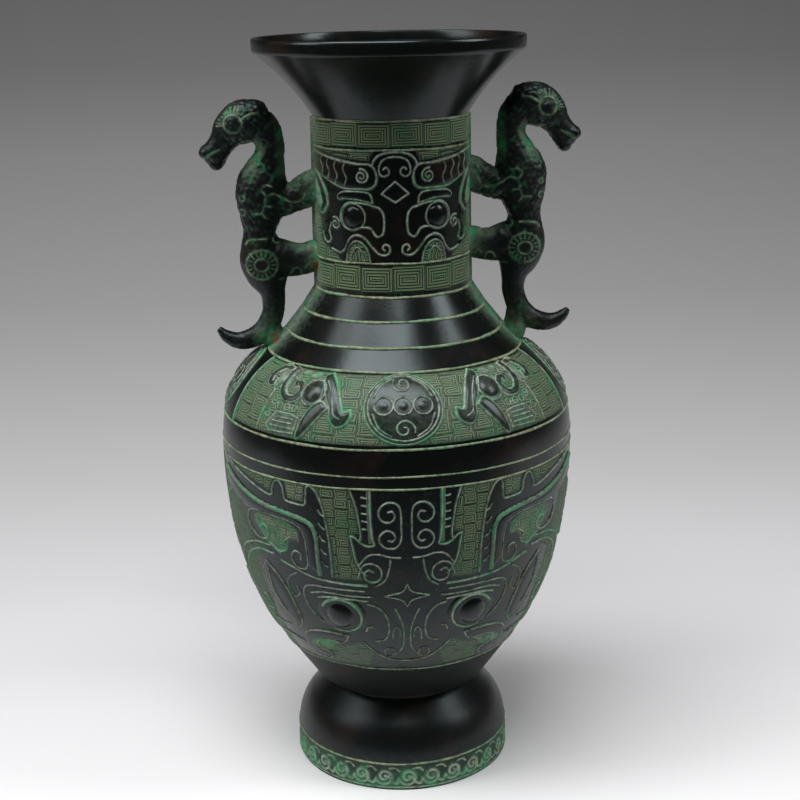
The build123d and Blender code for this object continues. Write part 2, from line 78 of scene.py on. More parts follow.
def patinatedBronze(name, look):
    # cast bronze with a waxed dark patina: glossy and nearly black where smooth, dull green where hollow
    material = bpy.data.materials.new(name)
    material.use_nodes = True
    material.node_tree.nodes.clear()
    add = partial(addNode, material.node_tree)
    tint = {key: linearColour(value) for key, value in look.items() if isinstance(value, str)}
    coords = add("TexCoord")
    worn = add("Attribute", attribute_name="patina")
    parts = add("SeparateColor", [worn["Color"]])
    # squared spirals: steps in from the edge of each cell, a quarter turn later on each side
    shape = look["cellShape"]
    within = add("VectorMath", [coords["UV"]], operation="FRACTION")[0]
    centred = add("VectorMath", [within, (0.5, 0.5, 0.0)], operation="SUBTRACT")[0]
    away = add("VectorMath", [centred], operation="ABSOLUTE")[0]
    slope, top = (-shape, -1.0, 0.0), (shape / 2, 0.5, 0.0)
    depths = add("VectorMath", [away, slope, top], operation="MULTIPLY_ADD")[0]
    signs = add("VectorMath", [centred], operation="SIGN")[0]
    cells = add("VectorMath", [coords["UV"]], operation="FLOOR")[0]
    depthXY, signXY, cellXY = (add("SeparateXYZ", [v]) for v in (depths, signs, cells))
    upright = add("Math", [depthXY[0], depthXY[1]], operation="LESS_THAN")[0]
    depth = add("Math", [depthXY[0], depthXY[1]], operation="MINIMUM")[0]
    across = add("Math", [1.0, signXY[0]], operation="SUBTRACT")[0]
    along = add("Math", [2.0, signXY[1]], operation="SUBTRACT")[0]
    change = add("Math", [across, along], operation="SUBTRACT")[0]
    quarter = add("Math", [upright, change, along], operation="MULTIPLY_ADD")[0]
    together = add("Math", [cellXY[0], cellXY[1]], operation="ADD")[0]
    odd = add("Math", [together, 1.0], operation="PINGPONG")[0]
    hand = add("Math", [odd, -0.5, 0.25], operation="MULTIPLY_ADD")[0]
    steps = add("Math", [depth, worn["Alpha"]], operation="DIVIDE")[0]
    phase = add("Math", [quarter, hand, steps], operation="MULTIPLY_ADD")[0]
    radians = add("Math", [phase, 2 * math.pi], operation="MULTIPLY")[0]
    wave = add("Math", [radians], operation="COSINE")[0]
    ridge = add("MapRange", [wave, 0.62, 0.0])[0]
    border = add("MapRange", [steps, 0.02, 0.2])[0]
    spiral = add("Math", [ridge, border], operation="MULTIPLY")[0]
    spiralRise = add("Math", [spiral, parts["Blue"]], operation="MULTIPLY")[0]
    # slow, middling and fine unevenness of the patina
    mottle, patch, grain, pits = (
        add("TexNoise", {"Vector": coords["Object"], "Scale": 1 / (look[size] * mm), "Detail": detail,
                         "Roughness": 0.62})["Fac"]
        for size, detail in (("mottle", 4.0), ("patch", 3.0), ("grain", 4.0), ("pitting", 2.0)))
    warm = add("MapRange", [mottle, 0.5, 0.74])[0]
    vivid = add("MapRange", [parts["Green"], 0.7, 1.0, 0.0, 0.12])[0]
    lively = add("Math", [patch, vivid], operation="ADD")[0]
    bright = add("MapRange", [lively, 0.5, 0.68])[0]
    skin = add("MixRGB", [warm, tint["black"], tint["brown"]])[0]
    greens = add("MixRGB", [bright, tint["green"], tint["emerald"]])[0]
    # green gathers where the attribute says, broken up by the grain
    ragged = add("Math", [grain, 0.9, -0.45], operation="MULTIPLY_ADD")[0]
    spread = add("Math", [parts["Green"], ragged], operation="ADD")[0]
    greenMask = add("MapRange", [spread, 0.16, 0.85])[0]
    withGreen = add("MixRGB", [greenMask, skin, greens])[0]
    mossy = add("Math", [bright, 0.55], operation="MULTIPLY")[0]
    ridges = add("MixRGB", [mossy, tint["olive"], tint["emerald"]])[0]
    spirals = add("MixRGB", [spiral, tint["groove"], ridges])[0]
    withSpirals = add("MixRGB", [parts["Blue"], withGreen, spirals])[0]
    # pale crest colours: rubbed wear on the cast lines, and a painted sheen where the rub lightens raised
    # forms
    yellow = add("MixRGB", [warm, tint["pale"], tint["gold"]])[0]
    crests = add("MixRGB", [bright, yellow, tint["mint"]])[0]
    rubbing = add("MapRange", [grain, 0.34, 0.6, 0.25, 1.05])[0]
    crestMask = add("Math", [parts["Red"], rubbing], operation="MULTIPLY", use_clamp=True)[0]
    colour = add("MixRGB", [crestMask, withSpirals, crests])[0]
    for x, y, z in look["stains"]:
        away = add("VectorMath", [coords["Object"], (x * mm, y * mm, z * mm)], operation="DISTANCE")["Value"]
        stain = add("MapRange", [away, look["stainReach"] * mm, 0.0, 0.0, 1.6])[0]
        broken = add("Math", [stain, rubbing], operation="MULTIPLY", use_clamp=True)[0]
        colour = add("MixRGB", [broken, colour, tint["rust"]])[0]
    dull = add("Math", [greenMask, crestMask], operation="MAXIMUM")[0]
    duller = add("Math", [dull, parts["Blue"]], operation="MAXIMUM")[0]
    rough = add("MapRange", [duller, 0.0, 1.0, look["glossRough"], look["greenRough"]])[0]
    roughGrain = add("Math", [mottle, 0.12, rough], operation="MULTIPLY_ADD")[0]
    bump = add("Bump", {"Height": grain, "Strength": look["bump"], "Distance": 0.3 * mm})[0]
    fine = add("Bump", {"Height": pits, "Strength": 0.12, "Distance": 0.15 * mm, "Normal": bump})[0]
    carved = add("Bump", {"Height": spiralRise, "Strength": 0.8, "Distance": look["spiral"] * mm,
                          "Normal": fine})[0]
    shader = add("BsdfPrincipled", {
        "Base Color": colour, "Roughness": roughGrain, "Normal": carved,
        "Specular IOR Level": look["specular"], "Specular Tint": tint["sheen"]})[0]
    add("OutputMaterial", [shader])
    return material


bodyBronze = patinatedBronze("waxedBrownBlackBronze", patina)  # soft black gloss over green hollows
handleBronze = patinatedBronze("darkCastHandleBronze", dict(  # rougher skin with a duller gloss
    patina, green="#1f3f2b", emerald="#2c7a4e", pale="#93a98b", gold="#8f9468", mint="#5a9f7a",
    mottle=12.0, patch=7.0, glossRough=0.34, bump=0.5))
seamBraze = patinatedBronze("corrodedSeamBraze", dict(  # chalky yellow-green lines
    patina, black="#1a1d15", brown="#2b2a1c", green="#46593f", emerald="#4e8060",
    pale="#a3b08e", gold="#a9a47a", mottle=14.0, patch=30.0, glossRough=0.45))
# partly dust and partly painted shade: this weakly reflecting copy of the body bronze keeps the lower bowl
# dark under the belly
shadedBronze = patinatedBronze("dustyShadedUndersideBronze", dict(  # nearly matt
    patina, glossRough=0.4, specular=0.14))
footBronze = patinatedBronze("rubbedFootBronze", dict(  # broad soft glints
    patina, glossRough=0.3, specular=0.34))
innerBronze = patinatedBronze("dullCastInside", dict(  # matt brown
    patina, black="#1d1c19", brown="#2b241d", glossRough=0.6))
print("materials ready")


# Profile of the body, bottom to top: radius and level

def tangentArc(start, end, direction, count=48):
    start, end, direction = (np.array(v, float) for v in (start, end, direction))
    direction = direction / np.hypot(*direction)
    chord = end - start
    lean = math.atan2(direction[0] * chord[1] - direction[1] * chord[0], direction @ chord)
    radius = np.hypot(*chord) / (2 * math.sin(abs(lean)))
    side = np.array([-direction[1], direction[0]]) * np.sign(lean)
    centre = start + side * radius
    first = math.atan2(start[1] - centre[1], start[0] - centre[0])
    angles = first + 2 * lean * np.linspace(0, 1, count)
    points = np.column_stack([centre[0] + radius * np.cos(angles), centre[1] + radius * np.sin(angles)])
    turn = 2 * lean
    leave = np.array([math.cos(turn) * direction[0] - math.sin(turn) * direction[1],
                      math.sin(turn) * direction[0] + math.cos(turn) * direction[1]])
    return points, leave


rings = {
    "footEdge": (53.5, 0.0), "footBand": (53.5, 14.0), "footDome": (45.5, 33.3), "waist": (37.0, 42.0),
    "bowlTurn": (43.5, 45.0), "bellyFoot": (59.4, 68.0), "bellyFlank": (78.9, 111.6),
    "bellyTop": (85.3, 166.8), "beltFoot": (85.3, 172.5), "beltTop": (83.8, 184.8),
    "shoulder": (61.0, 214.1), "lowStep": (51.5, 222.9), "highStep": (43.2, 233.3), "neckFoot": (36.6, 243.5),
    "maskFoot": (36.6, 259.3), "maskTop": (36.6, 311.0), "mouthFoot": (36.6, 324.0),
    "flareEdge": (64.0, 354.0),
}
flareLean = (0.519, 0.855)  # direction in which the trumpet leaves the neck
crownArc, crownLeave = tangentArc(rings["bellyTop"], rings["bellyFlank"], (0, -1))
flankArc, _ = tangentArc(rings["bellyFlank"], rings["bellyFoot"], crownLeave)
beltArc, beltLeave = tangentArc(rings["beltFoot"], rings["beltTop"], (0, 1))
roundelArc, _ = tangentArc(rings["beltTop"], rings["shoulder"], beltLeave)
domeArc, _ = tangentArc(rings["footBand"], rings["footDome"], (0, 1))
flareArc, _ = tangentArc(rings["mouthFoot"], rings["flareEdge"], flareLean)
bands = {
    "footDome": np.vstack([domeArc, [rings["waist"]]]), "belt": beltArc, "roundels": roundelArc,
    "bellyFoot": np.array([rings["waist"], rings["bowlTurn"], rings["bellyFoot"]]),
    "belly": np.vstack([flankArc[::-1], crownArc[::-1][1:]]),
}
for band, low, high in (
        ("footBand", "footEdge", "footBand"), ("narrowBand", "bellyTop", "beltFoot"),
        ("lowStep", "shoulder", "lowStep"), ("middleStep", "lowStep", "highStep"),
        ("highStep", "highStep", "neckFoot"), ("neckLow", "neckFoot", "maskFoot"),
        ("neckMask", "maskFoot", "maskTop"), ("neckHigh", "maskTop", "mouthFoot")):
    bands[band] = np.array([rings[low], rings[high]])  # straight stretches


def alongProfile(points, rows):
    steps = np.hypot(*np.diff(points, axis=0).T)
    run = np.concatenate([[0], np.cumsum(steps)])
    at = np.linspace(0, run[-1], rows + 1)
    return np.column_stack([np.interp(at, run, points[:, 0]), np.interp(at, run, points[:, 1])]), run[-1]


def handWobble(angle, level):
    # slow unevenness of a hand-finished wax, the same wherever two rings meet
    return (0.22 * np.sin(2 * angle + level * 0.021 + 0.6) + 0.13 * np.sin(3 * angle - level * 0.034 + 2.1)
            + 0.08 * np.sin(7 * angle + level * 0.09))


def settleMesh(piece, smoothAngle=50.0):
    bpy.ops.object.mode_set(mode="EDIT")
    bpy.ops.mesh.select_all(action="SELECT")
    bpy.ops.mesh.remove_doubles(threshold=0.0005 * mm)
    bpy.ops.mesh.normals_make_consistent(inside=False)
    bpy.ops.object.mode_set(mode="OBJECT")
    bpy.ops.object.shade_smooth_by_angle(angle=math.radians(smoothAngle))


def readPoints(piece, key="co"):
    flat = np.empty(len(piece.data.vertices) * 3)
    piece.data.vertices.foreach_get(key, flat)
    return flat.reshape(-1, 3)


def movePoints(piece, place):
    piece.data.vertices.foreach_set("co", place.ravel())
    piece.data.update()


def gridPiece(name, columns, rows):
    bpy.ops.object.select_all(action="DESELECT")
    bpy.ops.mesh.primitive_grid_add(x_subdivisions=columns, y_subdivisions=rows, size=1.0)
    piece = bpy.context.object
    piece.name = piece.data.name = name
    flat = readPoints(piece)
    column = np.rint((flat[:, 0] + 0.5) * columns).astype(int)
    row = np.rint((flat[:, 1] + 0.5) * rows).astype(int)
    return piece, column, row


def paintPatina(piece, crest, green, spirals=0.0, pitch=1.0):
    layer = piece.data.attributes.new("patina", "FLOAT_COLOR", "POINT")
    colour = np.ones((len(piece.data.vertices), 4))
    for channel, value in enumerate((crest, green, spirals, pitch)):
        colour[:, channel] = np.clip(value, 0, 1)
    layer.data.foreach_set("color", colour.ravel())


sideRib = {"half": 2.4, "height": 1.5, "rubbed": 0.75, "stain": 17.0}  # casting seam behind each handle
innerRows = 6  # of the inside of a ring


def closerInMiddle(columns):
    # from -1 to 1, with columns closer together towards the middle of a panel
    t = np.linspace(-1, 1, columns + 1)
    return 0.66 * t + 0.34 * t ** 3


def denseAngles(columns):
    # columns of a front and a back panel
    turn = closerInMiddle(columns) * math.pi / 2
    return np.concatenate([turn[columns // 2:-1] - math.pi, turn[:-1], turn[:columns // 2 + 1] + math.pi])


def evenAngles(columns):
    return np.linspace(-math.pi, math.pi, columns + 1)


def turnRing(name, outer, angles, relief=None, inner=None, ribbed=False):
    # a sheet rolled round the axis and back inside itself: fine outside, few rows inside
    if inner is None:
        inner = np.column_stack([outer[:, 0] - wall, outer[:, 1]])[::-1]
        inner = inner[np.unique(np.linspace(0, len(inner) - 1, innerRows).astype(int))]
    loop = np.vstack([outer, inner])
    rows, skin, columns = len(loop), len(outer), len(angles) - 1
    piece, column, row = gridPiece(name, columns, rows)
    row = row % rows
    tangent = np.gradient(outer, axis=0)
    tangent /= np.hypot(*tangent.T)[:, None]
    normal = np.vstack([np.column_stack([tangent[:, 1], -tangent[:, 0]]), np.zeros((rows - skin, 2))])
    fields = np.zeros((7, rows, columns + 1))
    if relief is not None:
        fields[:len(relief), :skin] = relief
    height, crest, green, spirals, cellX, cellY, pitch = fields
    if ribbed:
        away = (np.abs(angles)[None, :] - math.pi / 2) * outer[:, :1]
        seam = np.exp(-(away / sideRib["half"]) ** 2)
        height[:skin] = height[:skin] * (1 - seam) + sideRib["height"] * seam
        crest[:skin] = crest[:skin] * (1 - seam) + sideRib["rubbed"] * seam
        stain = np.exp(-(away / sideRib["stain"]) ** 2)
        green[:skin] = np.maximum(green[:skin], stain)
        crest[:skin] = np.maximum(crest[:skin], 0.5 * stain ** 2)
    turn, level = angles[column], loop[row, 1]
    lift = height[row, column]
    radius = loop[row, 0] + normal[row, 0] * lift + handWobble(turn, level)
    place = np.column_stack([radius * np.sin(turn), -radius * np.cos(turn), level + normal[row, 1] * lift])
    paintPatina(piece, crest[row, column], green[row, column], spirals[row, column], pitch[row, column])
    corner = np.empty(len(piece.data.loops), int)
    piece.data.loops.foreach_get("vertex_index", corner)
    cells = np.column_stack([cellX[row, column], cellY[row, column]])[corner]
    piece.data.uv_layers.active.data.foreach_set("uv", cells.ravel())
    movePoints(piece, place * mm)
    settleMesh(piece)
    return piece


def turnCourses(names, outline, angles, fields, node):
    # a tall band is turned as stacked rings, so that no piece grows too heavy
    course = (len(outline) - 1) // len(names)
    for k, name in enumerate(names):
        rows = slice(k * course, (k + 1) * course + 1)
        piece = turnRing(name, outline[rows], angles, [field[rows] for field in fields])
        dress(piece, bodyBronze, "body_bronze", *((node,) if k == 0 else ()))


def dress(piece, material, slot, *nodes):
    piece.data.materials.clear()
    piece.data.materials.append(material)
    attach(piece, "root")
    if nodes:
        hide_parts(*nodes)
    return piece


# Ornament: lines and shapes drawn on a flat panel that is then wrapped round the body

def curve(points, perSpan=7):
    # smooth line through a list of given points; a line that is already an array stays as it is
    if isinstance(points, np.ndarray):
        return points
    points = np.array(points, float)
    if len(points) < 3:
        return points
    ends = np.vstack([2 * points[0] - points[1], points, 2 * points[-1] - points[-2]])
    t = np.linspace(0, 1, perSpan, endpoint=False)[:, None]
    spans = []
    for k in range(len(points) - 1):
        a, b, c, d = ends[k:k + 4]
        spans.append(0.5 * (2 * b + (c - a) * t + (2 * a - 5 * b + 4 * c - d) * t ** 2
                            + (3 * b - a - 3 * c + d) * t ** 3))
    return np.vstack(spans + [points[-1:]])


def volute(cx, cy, radius, turns, start, inner=0.18):
    t = np.linspace(0, 1, max(int(26 * abs(turns)), 8))
    angle = math.radians(start) + 2 * math.pi * turns * t
    reach = radius * (1 - (1 - inner) * t)
    return np.column_stack([cx + reach * np.cos(angle), cy + reach * np.sin(angle)])


def oval(cx, cy, rx, ry=None, turn=0.0):
    t = np.linspace(0, 2 * math.pi, 41)
    x, y = rx * np.cos(t), (ry or rx) * np.sin(t)
    c, s = math.cos(math.radians(turn)), math.sin(math.radians(turn))
    return np.column_stack([cx + c * x - s * y, cy + s * x + c * y])


def newPanel(half, tall, columns, rows, thin=1.0):
    x, y = np.meshgrid(half * closerInMiddle(columns), np.linspace(0, tall, rows + 1))
    panel = {"grid": x.shape, "x": x.ravel(), "y": y.ravel(), "thin": thin, "rubbing": 0.95}
    for key in ("height", "fret", "green", "bare", "rub", "cellX", "cellY"):
        panel[key] = np.zeros(x.size)
    panel["pitch"] = np.ones(x.size)
    panel["thread"] = np.full(x.size, 9.0)
    return panel


def insideBox(panel, low, high):
    x, y = panel["x"], panel["y"]
    return np.flatnonzero((x >= low[0]) & (x <= high[0]) & (y >= low[1]) & (y <= high[1]))


def nearLine(panel, line, reach):
    near = insideBox(panel, line.min(0) - reach, line.max(0) + reach)
    best = np.full(near.size, 1e9)
    px, py = panel["x"][near], panel["y"][near]
    for (ax, ay), (bx, by) in zip(line[:-1], line[1:]):
        ex, ey = bx - ax, by - ay
        along = np.clip(((px - ax) * ex + (py - ay) * ey) / (ex * ex + ey * ey + 1e-12), 0, 1)
        best = np.minimum(best, (px - ax - along * ex) ** 2 + (py - ay - along * ey) ** 2)
    return near, np.sqrt(best)


def bothSides(line, mirrored):
    return [line, line * np.array([-1.0, 1.0])] if mirrored else [line]


def raiseThread(panel, points, halfWidth, green=0.0, mirrored=True):
    halfWidth = halfWidth * panel["thin"]
    for line in bothSides(curve(points), mirrored):
        near, distance = nearLine(panel, line, 4 * halfWidth)
        panel["thread"][near] = np.minimum(panel["thread"][near], distance / halfWidth)
        stain = green * np.exp(-(distance / (1.8 * halfWidth)) ** 2)
        panel["green"][near] = np.maximum(panel["green"][near], stain)


def raiseThreads(panel, rows, mirrored=True):
    # each row is a line, its half width and, where it has one, its green
    for row in rows:
        raiseThread(panel, *row, mirrored=mirrored)


def insideShape(panel, line):
    near = insideBox(panel, line.min(0), line.max(0))
    px, py = panel["x"][near], panel["y"][near]
    odd = np.zeros(near.size, bool)
    loop = np.vstack([line, line[:1]])
    for (ax, ay), (bx, by) in zip(loop[:-1], loop[1:]):
        if ay != by:
            odd ^= ((ay > py) != (by > py)) & (px < ax + (py - ay) * (bx - ax) / (by - ay))
    return near[odd]


def fromEdge(panel, line, reach):
    # points inside a closed outline, and how far in each lies as a share of the reach
    held = insideShape(panel, line)
    near, distance = nearLine(panel, np.vstack([line, line[:1]]), reach)
    edge = np.full(panel["x"].size, reach)
    edge[near] = np.minimum(distance, reach)
    return held, edge[held] / reach


def swellShape(panel, points, height, roll, mirrored=True, bare=1.0, green=0.0, rub=0.0):
    for line in bothSides(curve(points), mirrored):
        held, edge = fromEdge(panel, line, roll)
        rise = np.sqrt(np.clip(1 - (1 - edge) ** 2, 0, 1))
        panel["height"][held] = np.maximum(panel["height"][held], height * rise)
        panel["bare"][held] = np.maximum(panel["bare"][held], bare)
        panel["green"][held] = np.maximum(panel["green"][held] * (1 - bare), green)
        # rub pales the shape: worn metal on some forms, and a painted sheen on the low glossy ones
        panel["rub"][held] = rub


def ballBoss(panel, cx, cy, rx, ry, height, mirrored=True):
    for side in ((1, -1) if mirrored else (1,)):
        away = ((panel["x"] - side * cx) / rx) ** 2 + ((panel["y"] - cy) / ry) ** 2
        held = away < 1
        panel["height"][held] = np.maximum(panel["height"][held], height * np.sqrt(1 - away[held]))
        panel["bare"][held], panel["green"][held] = 1.0, 0.0


def ribbon(points, half):
    # closed outline of a band of even width along a line
    line = curve(points)
    lean = np.gradient(line, axis=0)
    lean /= np.hypot(*lean.T)[:, None]
    side = np.column_stack([-lean[:, 1], lean[:, 0]]) * half
    return np.vstack([line + side, (line - side)[::-1], (line + side)[:1]])


fretFade = 1.4  # the spirals fade out over this much at the edge of a field


def fretShape(panel, points, wide, high, pitch, mirrored=True, green=0.45, strength=0.9, rub=0.0):
    # a field of squared spirals, in cells of the given size
    for line in bothSides(np.asarray(points, float), mirrored):
        held, edge = fromEdge(panel, line, fretFade)
        x, y = np.abs(panel["x"][held]), panel["y"][held]
        uneven = 0.3 * np.sin(0.8 * y + 0.3 * x) + 0.22 * np.sin(0.55 * x - 1.1 * y)  # drawn by hand
        panel["fret"][held], panel["rub"][held] = strength * edge, rub
        panel["cellX"][held], panel["cellY"][held] = (x + uneven) / wide, (y + 0.6 * uneven) / high
        panel["pitch"][held] = pitch / high
        panel["green"][held] = np.maximum(panel["green"][held], green)


def finishPanel(panel, threadHeight):
    thread, bare = panel["thread"], panel["bare"]
    crest = np.clip(1 - thread ** 2, 0, 1)
    fret = panel["fret"] * np.clip(thread - 1.0, 0, 1) * (1 - bare)
    height = panel["height"] + threadHeight * crest ** 0.7
    beside = 0.5 * np.exp(-((thread - 1.2) / 0.4) ** 2)  # green lies along the foot of each line
    green = np.clip(panel["green"] + beside, 0, 1)
    # the rubbed share holds the worn pale of the line crests and the painted sheen of the raised forms
    rubbed = np.clip(panel["rubbing"] * crest + panel["rub"], 0, 1)
    fields = (height, rubbed, green, fret, panel["cellX"], panel["cellY"], panel["pitch"])
    return [field.reshape(panel["grid"]) for field in fields]


def frontAndBack(fields):
    # the same panel on the front and the back, so a ring is two panels, joined at the handles
    turned = []
    for field in fields:
        half = (field.shape[1] - 1) // 2
        turned.append(np.hstack([field[:, half:-1], field[:, :-1], field[:, :half + 1]]))
    return turned


# Neck: masks between two bands of squared spirals

neck = {"quarter": 57.49, "tall": 51.7, "columns": 300, "maskRows": 140, "bandRows": 20, "thread": 0.55,
        "threadScale": 0.88, "cells": 15, "turns": 8.6}


def neckHorns(panel):
    hornLow = [(8.1, 39.5), (9.0, 36.2), (12, 34.3), (18, 34.2), (25, 34.4), (31, 36.2), (38, 38.6),
               (46, 40.8), (52, 42.8)]
    hornTop = [(52, 50.6), (38, 48.6), (28, 47.0), (18, 45.7), (11.6, 45.4), (9.0, 43.0), (8.1, 39.5)]
    swellShape(panel, hornLow + hornTop[:-1], 0.9, 3.0)
    raiseThreads(panel, [
        (hornLow, 0.62, 0.5),
        (hornTop, 0.58),
        ([(0, 51.0), (3.5, 50.7), (7, 49.5), (9.4, 47.2), (10.2, 45.2)], 0.62),
        ([(0, 48.8), (3, 48.5), (5.8, 46.9), (7.1, 43.8), (6.6, 41), (4.7, 40), (2.9, 41), (2.7, 43),
          (4, 44.1), (5.2, 43.2)], 0.5),
        (np.array([(0, 37.7), (6.1, 32.2), (0, 28.2)]), 0.5),
        (volute(15.2, 40.0, 3.5, 1.7, 80), 0.5),
    ])
    for x in (23.6, 28.8, 33.8, 38.8):  # wavy ribs across the horn
        low, top = 35.4 + 0.33 * max(x - 25, 0), 45.4 + 0.17 * (x - 18)
        tall = top - low
        wave = [(x - 0.2, top), (x + 0.9, top - 0.3 * tall), (x - 0.9, top - 0.66 * tall), (x + 0.4, low)]
        raiseThread(panel, wave, 0.42)


def neckFace(panel):
    brow = [(10.4, 27.8), (11.0, 31), (13, 32.7), (18, 33.2), (25, 32.8), (28.4, 31.2), (28, 29.2),
            (24, 29.6), (18, 29.4), (13, 28.4), (10.4, 27.8)]
    swellShape(panel, brow, 0.7, 1.6)
    raiseThread(panel, brow, 0.45)
    beak = [(10, 26.4), (7.2, 25.4), (5.5, 22.5), (5.3, 17.5), (6.0, 13.8), (8.2, 12.5), (9.7, 13.4)]
    lid = [(9.7, 13.6), (12, 16.4), (17, 16.6), (21, 15.4), (25.2, 16.8), (27.3, 20.4), (26.4, 24.6),
           (23, 27.5), (17, 27.9), (12.5, 27.3), (10, 26.4)]
    raiseThreads(panel, [
        (beak, 0.6),
        (lid, 0.55, 0.4),
        (oval(20.3, 21.4, 6.1), 0.42, 0.5),
    ])
    ballBoss(panel, 20.3, 21.4, 5.3, 5.3, 2.4)
    raiseThread(panel, [(34, 5.8), (28.5, 4.4), (25.2, 6.4), (22.4, 11.2), (18.5, 13), (14.5, 11.6),
                        (11, 7.6), (8, 4.6), (5, 4), (3, 5.4), (3.1, 8), (5, 8.9), (6.2, 7.4),
                        (5.2, 6.2)], 0.6)


def neckSides(panel):
    hill = [(11.8, 0), (13, 5.5), (15.5, 9.0), (18.5, 10.2), (21.5, 9.0), (23.6, 5.5), (24.6, 0)]
    fretShape(panel, curve(hill), 9.2, 6.6, 1.35)
    raiseThreads(panel, [
        (hill, 0.5),
        ([(14.8, 0), (15.8, 4.6), (18.5, 7.4), (21.2, 4.6), (22.2, 0)], 0.4),
    ])
    ear = [(35.4, 26), (36.4, 31), (40, 36), (46.4, 40.6), (48.6, 35), (48.4, 28), (45, 23), (40, 21.6),
           (35.4, 26)]
    leaf = [(39.2, 26.4), (40.6, 31), (45.8, 37), (46.4, 30), (44, 25.4), (41.2, 24.2), (39.2, 26.4)]
    swellShape(panel, ear, 1.0, 2.2)
    swellShape(panel, leaf, 1.5, 1.5, green=0.95, rub=0.6)
    raiseThreads(panel, [
        (ear, 0.55, 0.9),
        (volute(30.8, 17.6, 3.2, 1.4, 60), 0.5, 0.6),
        ([(34.0, 17.4), (35.4, 13.6), (34.2, 10.2), (36.6, 8.2), (39.6, 9.6), (41, 12.8)], 0.55, 0.5),
    ])
    fretShape(panel, [(11.4, 46.6), (28, 48.2), (50, neck["tall"]), (9, neck["tall"]),
                      (10.8, 48.4)], 11.0, 5.0, 1.2)
    fretShape(panel, [(27, 0), (57.5, 0), (57.5, 33), (49, 33), (49, 22), (43, 20.5), (43, 9), (37, 6.5),
                      (30, 3)], 9.6, 6.8, 1.35, green=0.8)


def neckMaskRelief():
    panel = newPanel(neck["quarter"], neck["tall"], neck["columns"], neck["maskRows"], neck["threadScale"])
    neckHorns(panel)
    neckFace(panel)
    neckSides(panel)
    return frontAndBack(finishPanel(panel, neck["thread"]))


def fretBandRelief(tall, rows, low, high, angles):
    angle, y = np.meshgrid(angles, np.linspace(0, tall, rows + 1))
    held = ((y > low) & (y < high)) * 1.0
    nothing = np.zeros(y.shape)
    return [nothing, nothing, 0.25 + 0.3 * held, held, angle * neck["cells"] / (2 * math.pi) + 0.13,
            np.clip((y - low) / (high - low), 0.01, 0.99), nothing + 1 / neck["turns"]]


neckAngles = denseAngles(neck["columns"])
outline, _ = alongProfile(bands["neckMask"], neck["maskRows"])
piece = turnRing("neckMasks", outline, neckAngles, neckMaskRelief(), ribbed=True)
dress(piece, bodyBronze, "body_bronze", "neck_sleeve")
for name, band, low, high in (("neckLowFret", "neckLow", 2.4, 14.4), ("neckHighFret", "neckHigh", 1.3, 11.9)):
    outline, tall = alongProfile(bands[band], neck["bandRows"])
    relief = fretBandRelief(tall, neck["bandRows"], low, high, neckAngles)
    dress(turnRing(name, outline, neckAngles, relief, ribbed=True), bodyBronze, "body_bronze")
print("neck done")


# Plain turned stretches: trumpet mouth, steps, belt, lower bowl and foot dome

plain = {"columns": 320, "rows": 26, "narrowRows": 14, "tallRows": 44, "creep": 0.06}
mouth = {"lipOuter": [(64.3, 357.5), (64.2, 359.4)], "inset": (-2.4, 1.9),
         "lipInner": [(63.6, 360.0), (62.0, 359.8), (61.4, 358.6), (61.0, 355.4)]}


def turnPlain(name, band, rows, ribbed=False, material=bodyBronze):
    outer, _ = alongProfile(bands[band], rows)
    shape = (rows + 1, plain["columns"] + 1)
    up = np.linspace(0, 1, shape[0])[:, None] * np.ones(shape)
    # verdigris creeps in from the ridges
    edge = np.exp(-up / plain["creep"]) + np.exp(-(1 - up) / plain["creep"])
    relief = [np.zeros(shape), np.zeros(shape), 0.5 * edge]
    piece = turnRing(name, outer, evenAngles(plain["columns"]), relief, ribbed=ribbed)
    dress(piece, material, "body_bronze")


trumpet = np.vstack([flareArc, [rings["flareEdge"]], mouth["lipOuter"]])
mouthOuter, _ = alongProfile(trumpet, plain["tallRows"])
innerFoot = (rings["mouthFoot"][0] - wall, rings["mouthFoot"][1])
mouthInner = np.vstack([mouth["lipInner"], (flareArc + mouth["inset"])[::-6], [innerFoot]])
piece = turnRing("mouthTrumpet", mouthOuter, evenAngles(plain["columns"]), None, mouthInner)
dress(piece, bodyBronze, "body_bronze", "mouth_flare")
for name in ("highStep", "middleStep", "lowStep"):
    turnPlain(name, name, plain["rows"], ribbed=True)
turnPlain("shoulderBelt", "belt", plain["rows"])
turnPlain("narrowBelt", "narrowBand", plain["narrowRows"])
# the lower bowl takes the weakly reflecting copy: painted shade under the belly
turnPlain("lowerBowl", "bellyFoot", plain["tallRows"], material=shadedBronze)
turnPlain("footDome", "footDome", plain["tallRows"], material=footBronze)
print("plain stretches done")


# Shoulder band: roundels between trunked beasts on a ground of fine spirals

shoulder = {"quarter": 117.81, "tall": 38.23, "columns": 620, "rows": 132, "thread": 0.45, "border": 91.6,
            "threadScale": 0.85, "roundelLevel": 19.6, "bossSpacing": 8.7}


def roundel(panel, cx):
    level = shoulder["roundelLevel"]
    # painted sheen: the small pale rub on the roundel and its bosses lightens them as if they caught glossy
    # grey light
    swellShape(panel, oval(cx, level, 17.6), 1.1, 6.0, mirrored=False, rub=0.09)
    threads = [(oval(cx, level, 17.5), 0.5, 0.9), (oval(cx, level, 15.8), 0.5)]
    threads += [(volute(cx, 30.6, 4.9, 1.3, 150), 0.42), (volute(cx, 8.8, 4.6, 1.3, -20), 0.42)]
    for up in (1, -1):
        for sx in (1, -1):
            threads.append(([(cx + 5.4 * sx, level + 13.8 * up), (cx + 10.4 * sx, level + 10.2 * up),
                             (cx + 13.4 * sx, level + 4 * up)], 0.4))
    for x in (cx - shoulder["bossSpacing"], cx, cx + shoulder["bossSpacing"]):
        threads.append((oval(x, level, 4.2), 0.4))
        swellShape(panel, oval(x, level, 3.4), 1.4, 3.4, mirrored=False, rub=0.08)
    raiseThreads(panel, threads, mirrored=False)


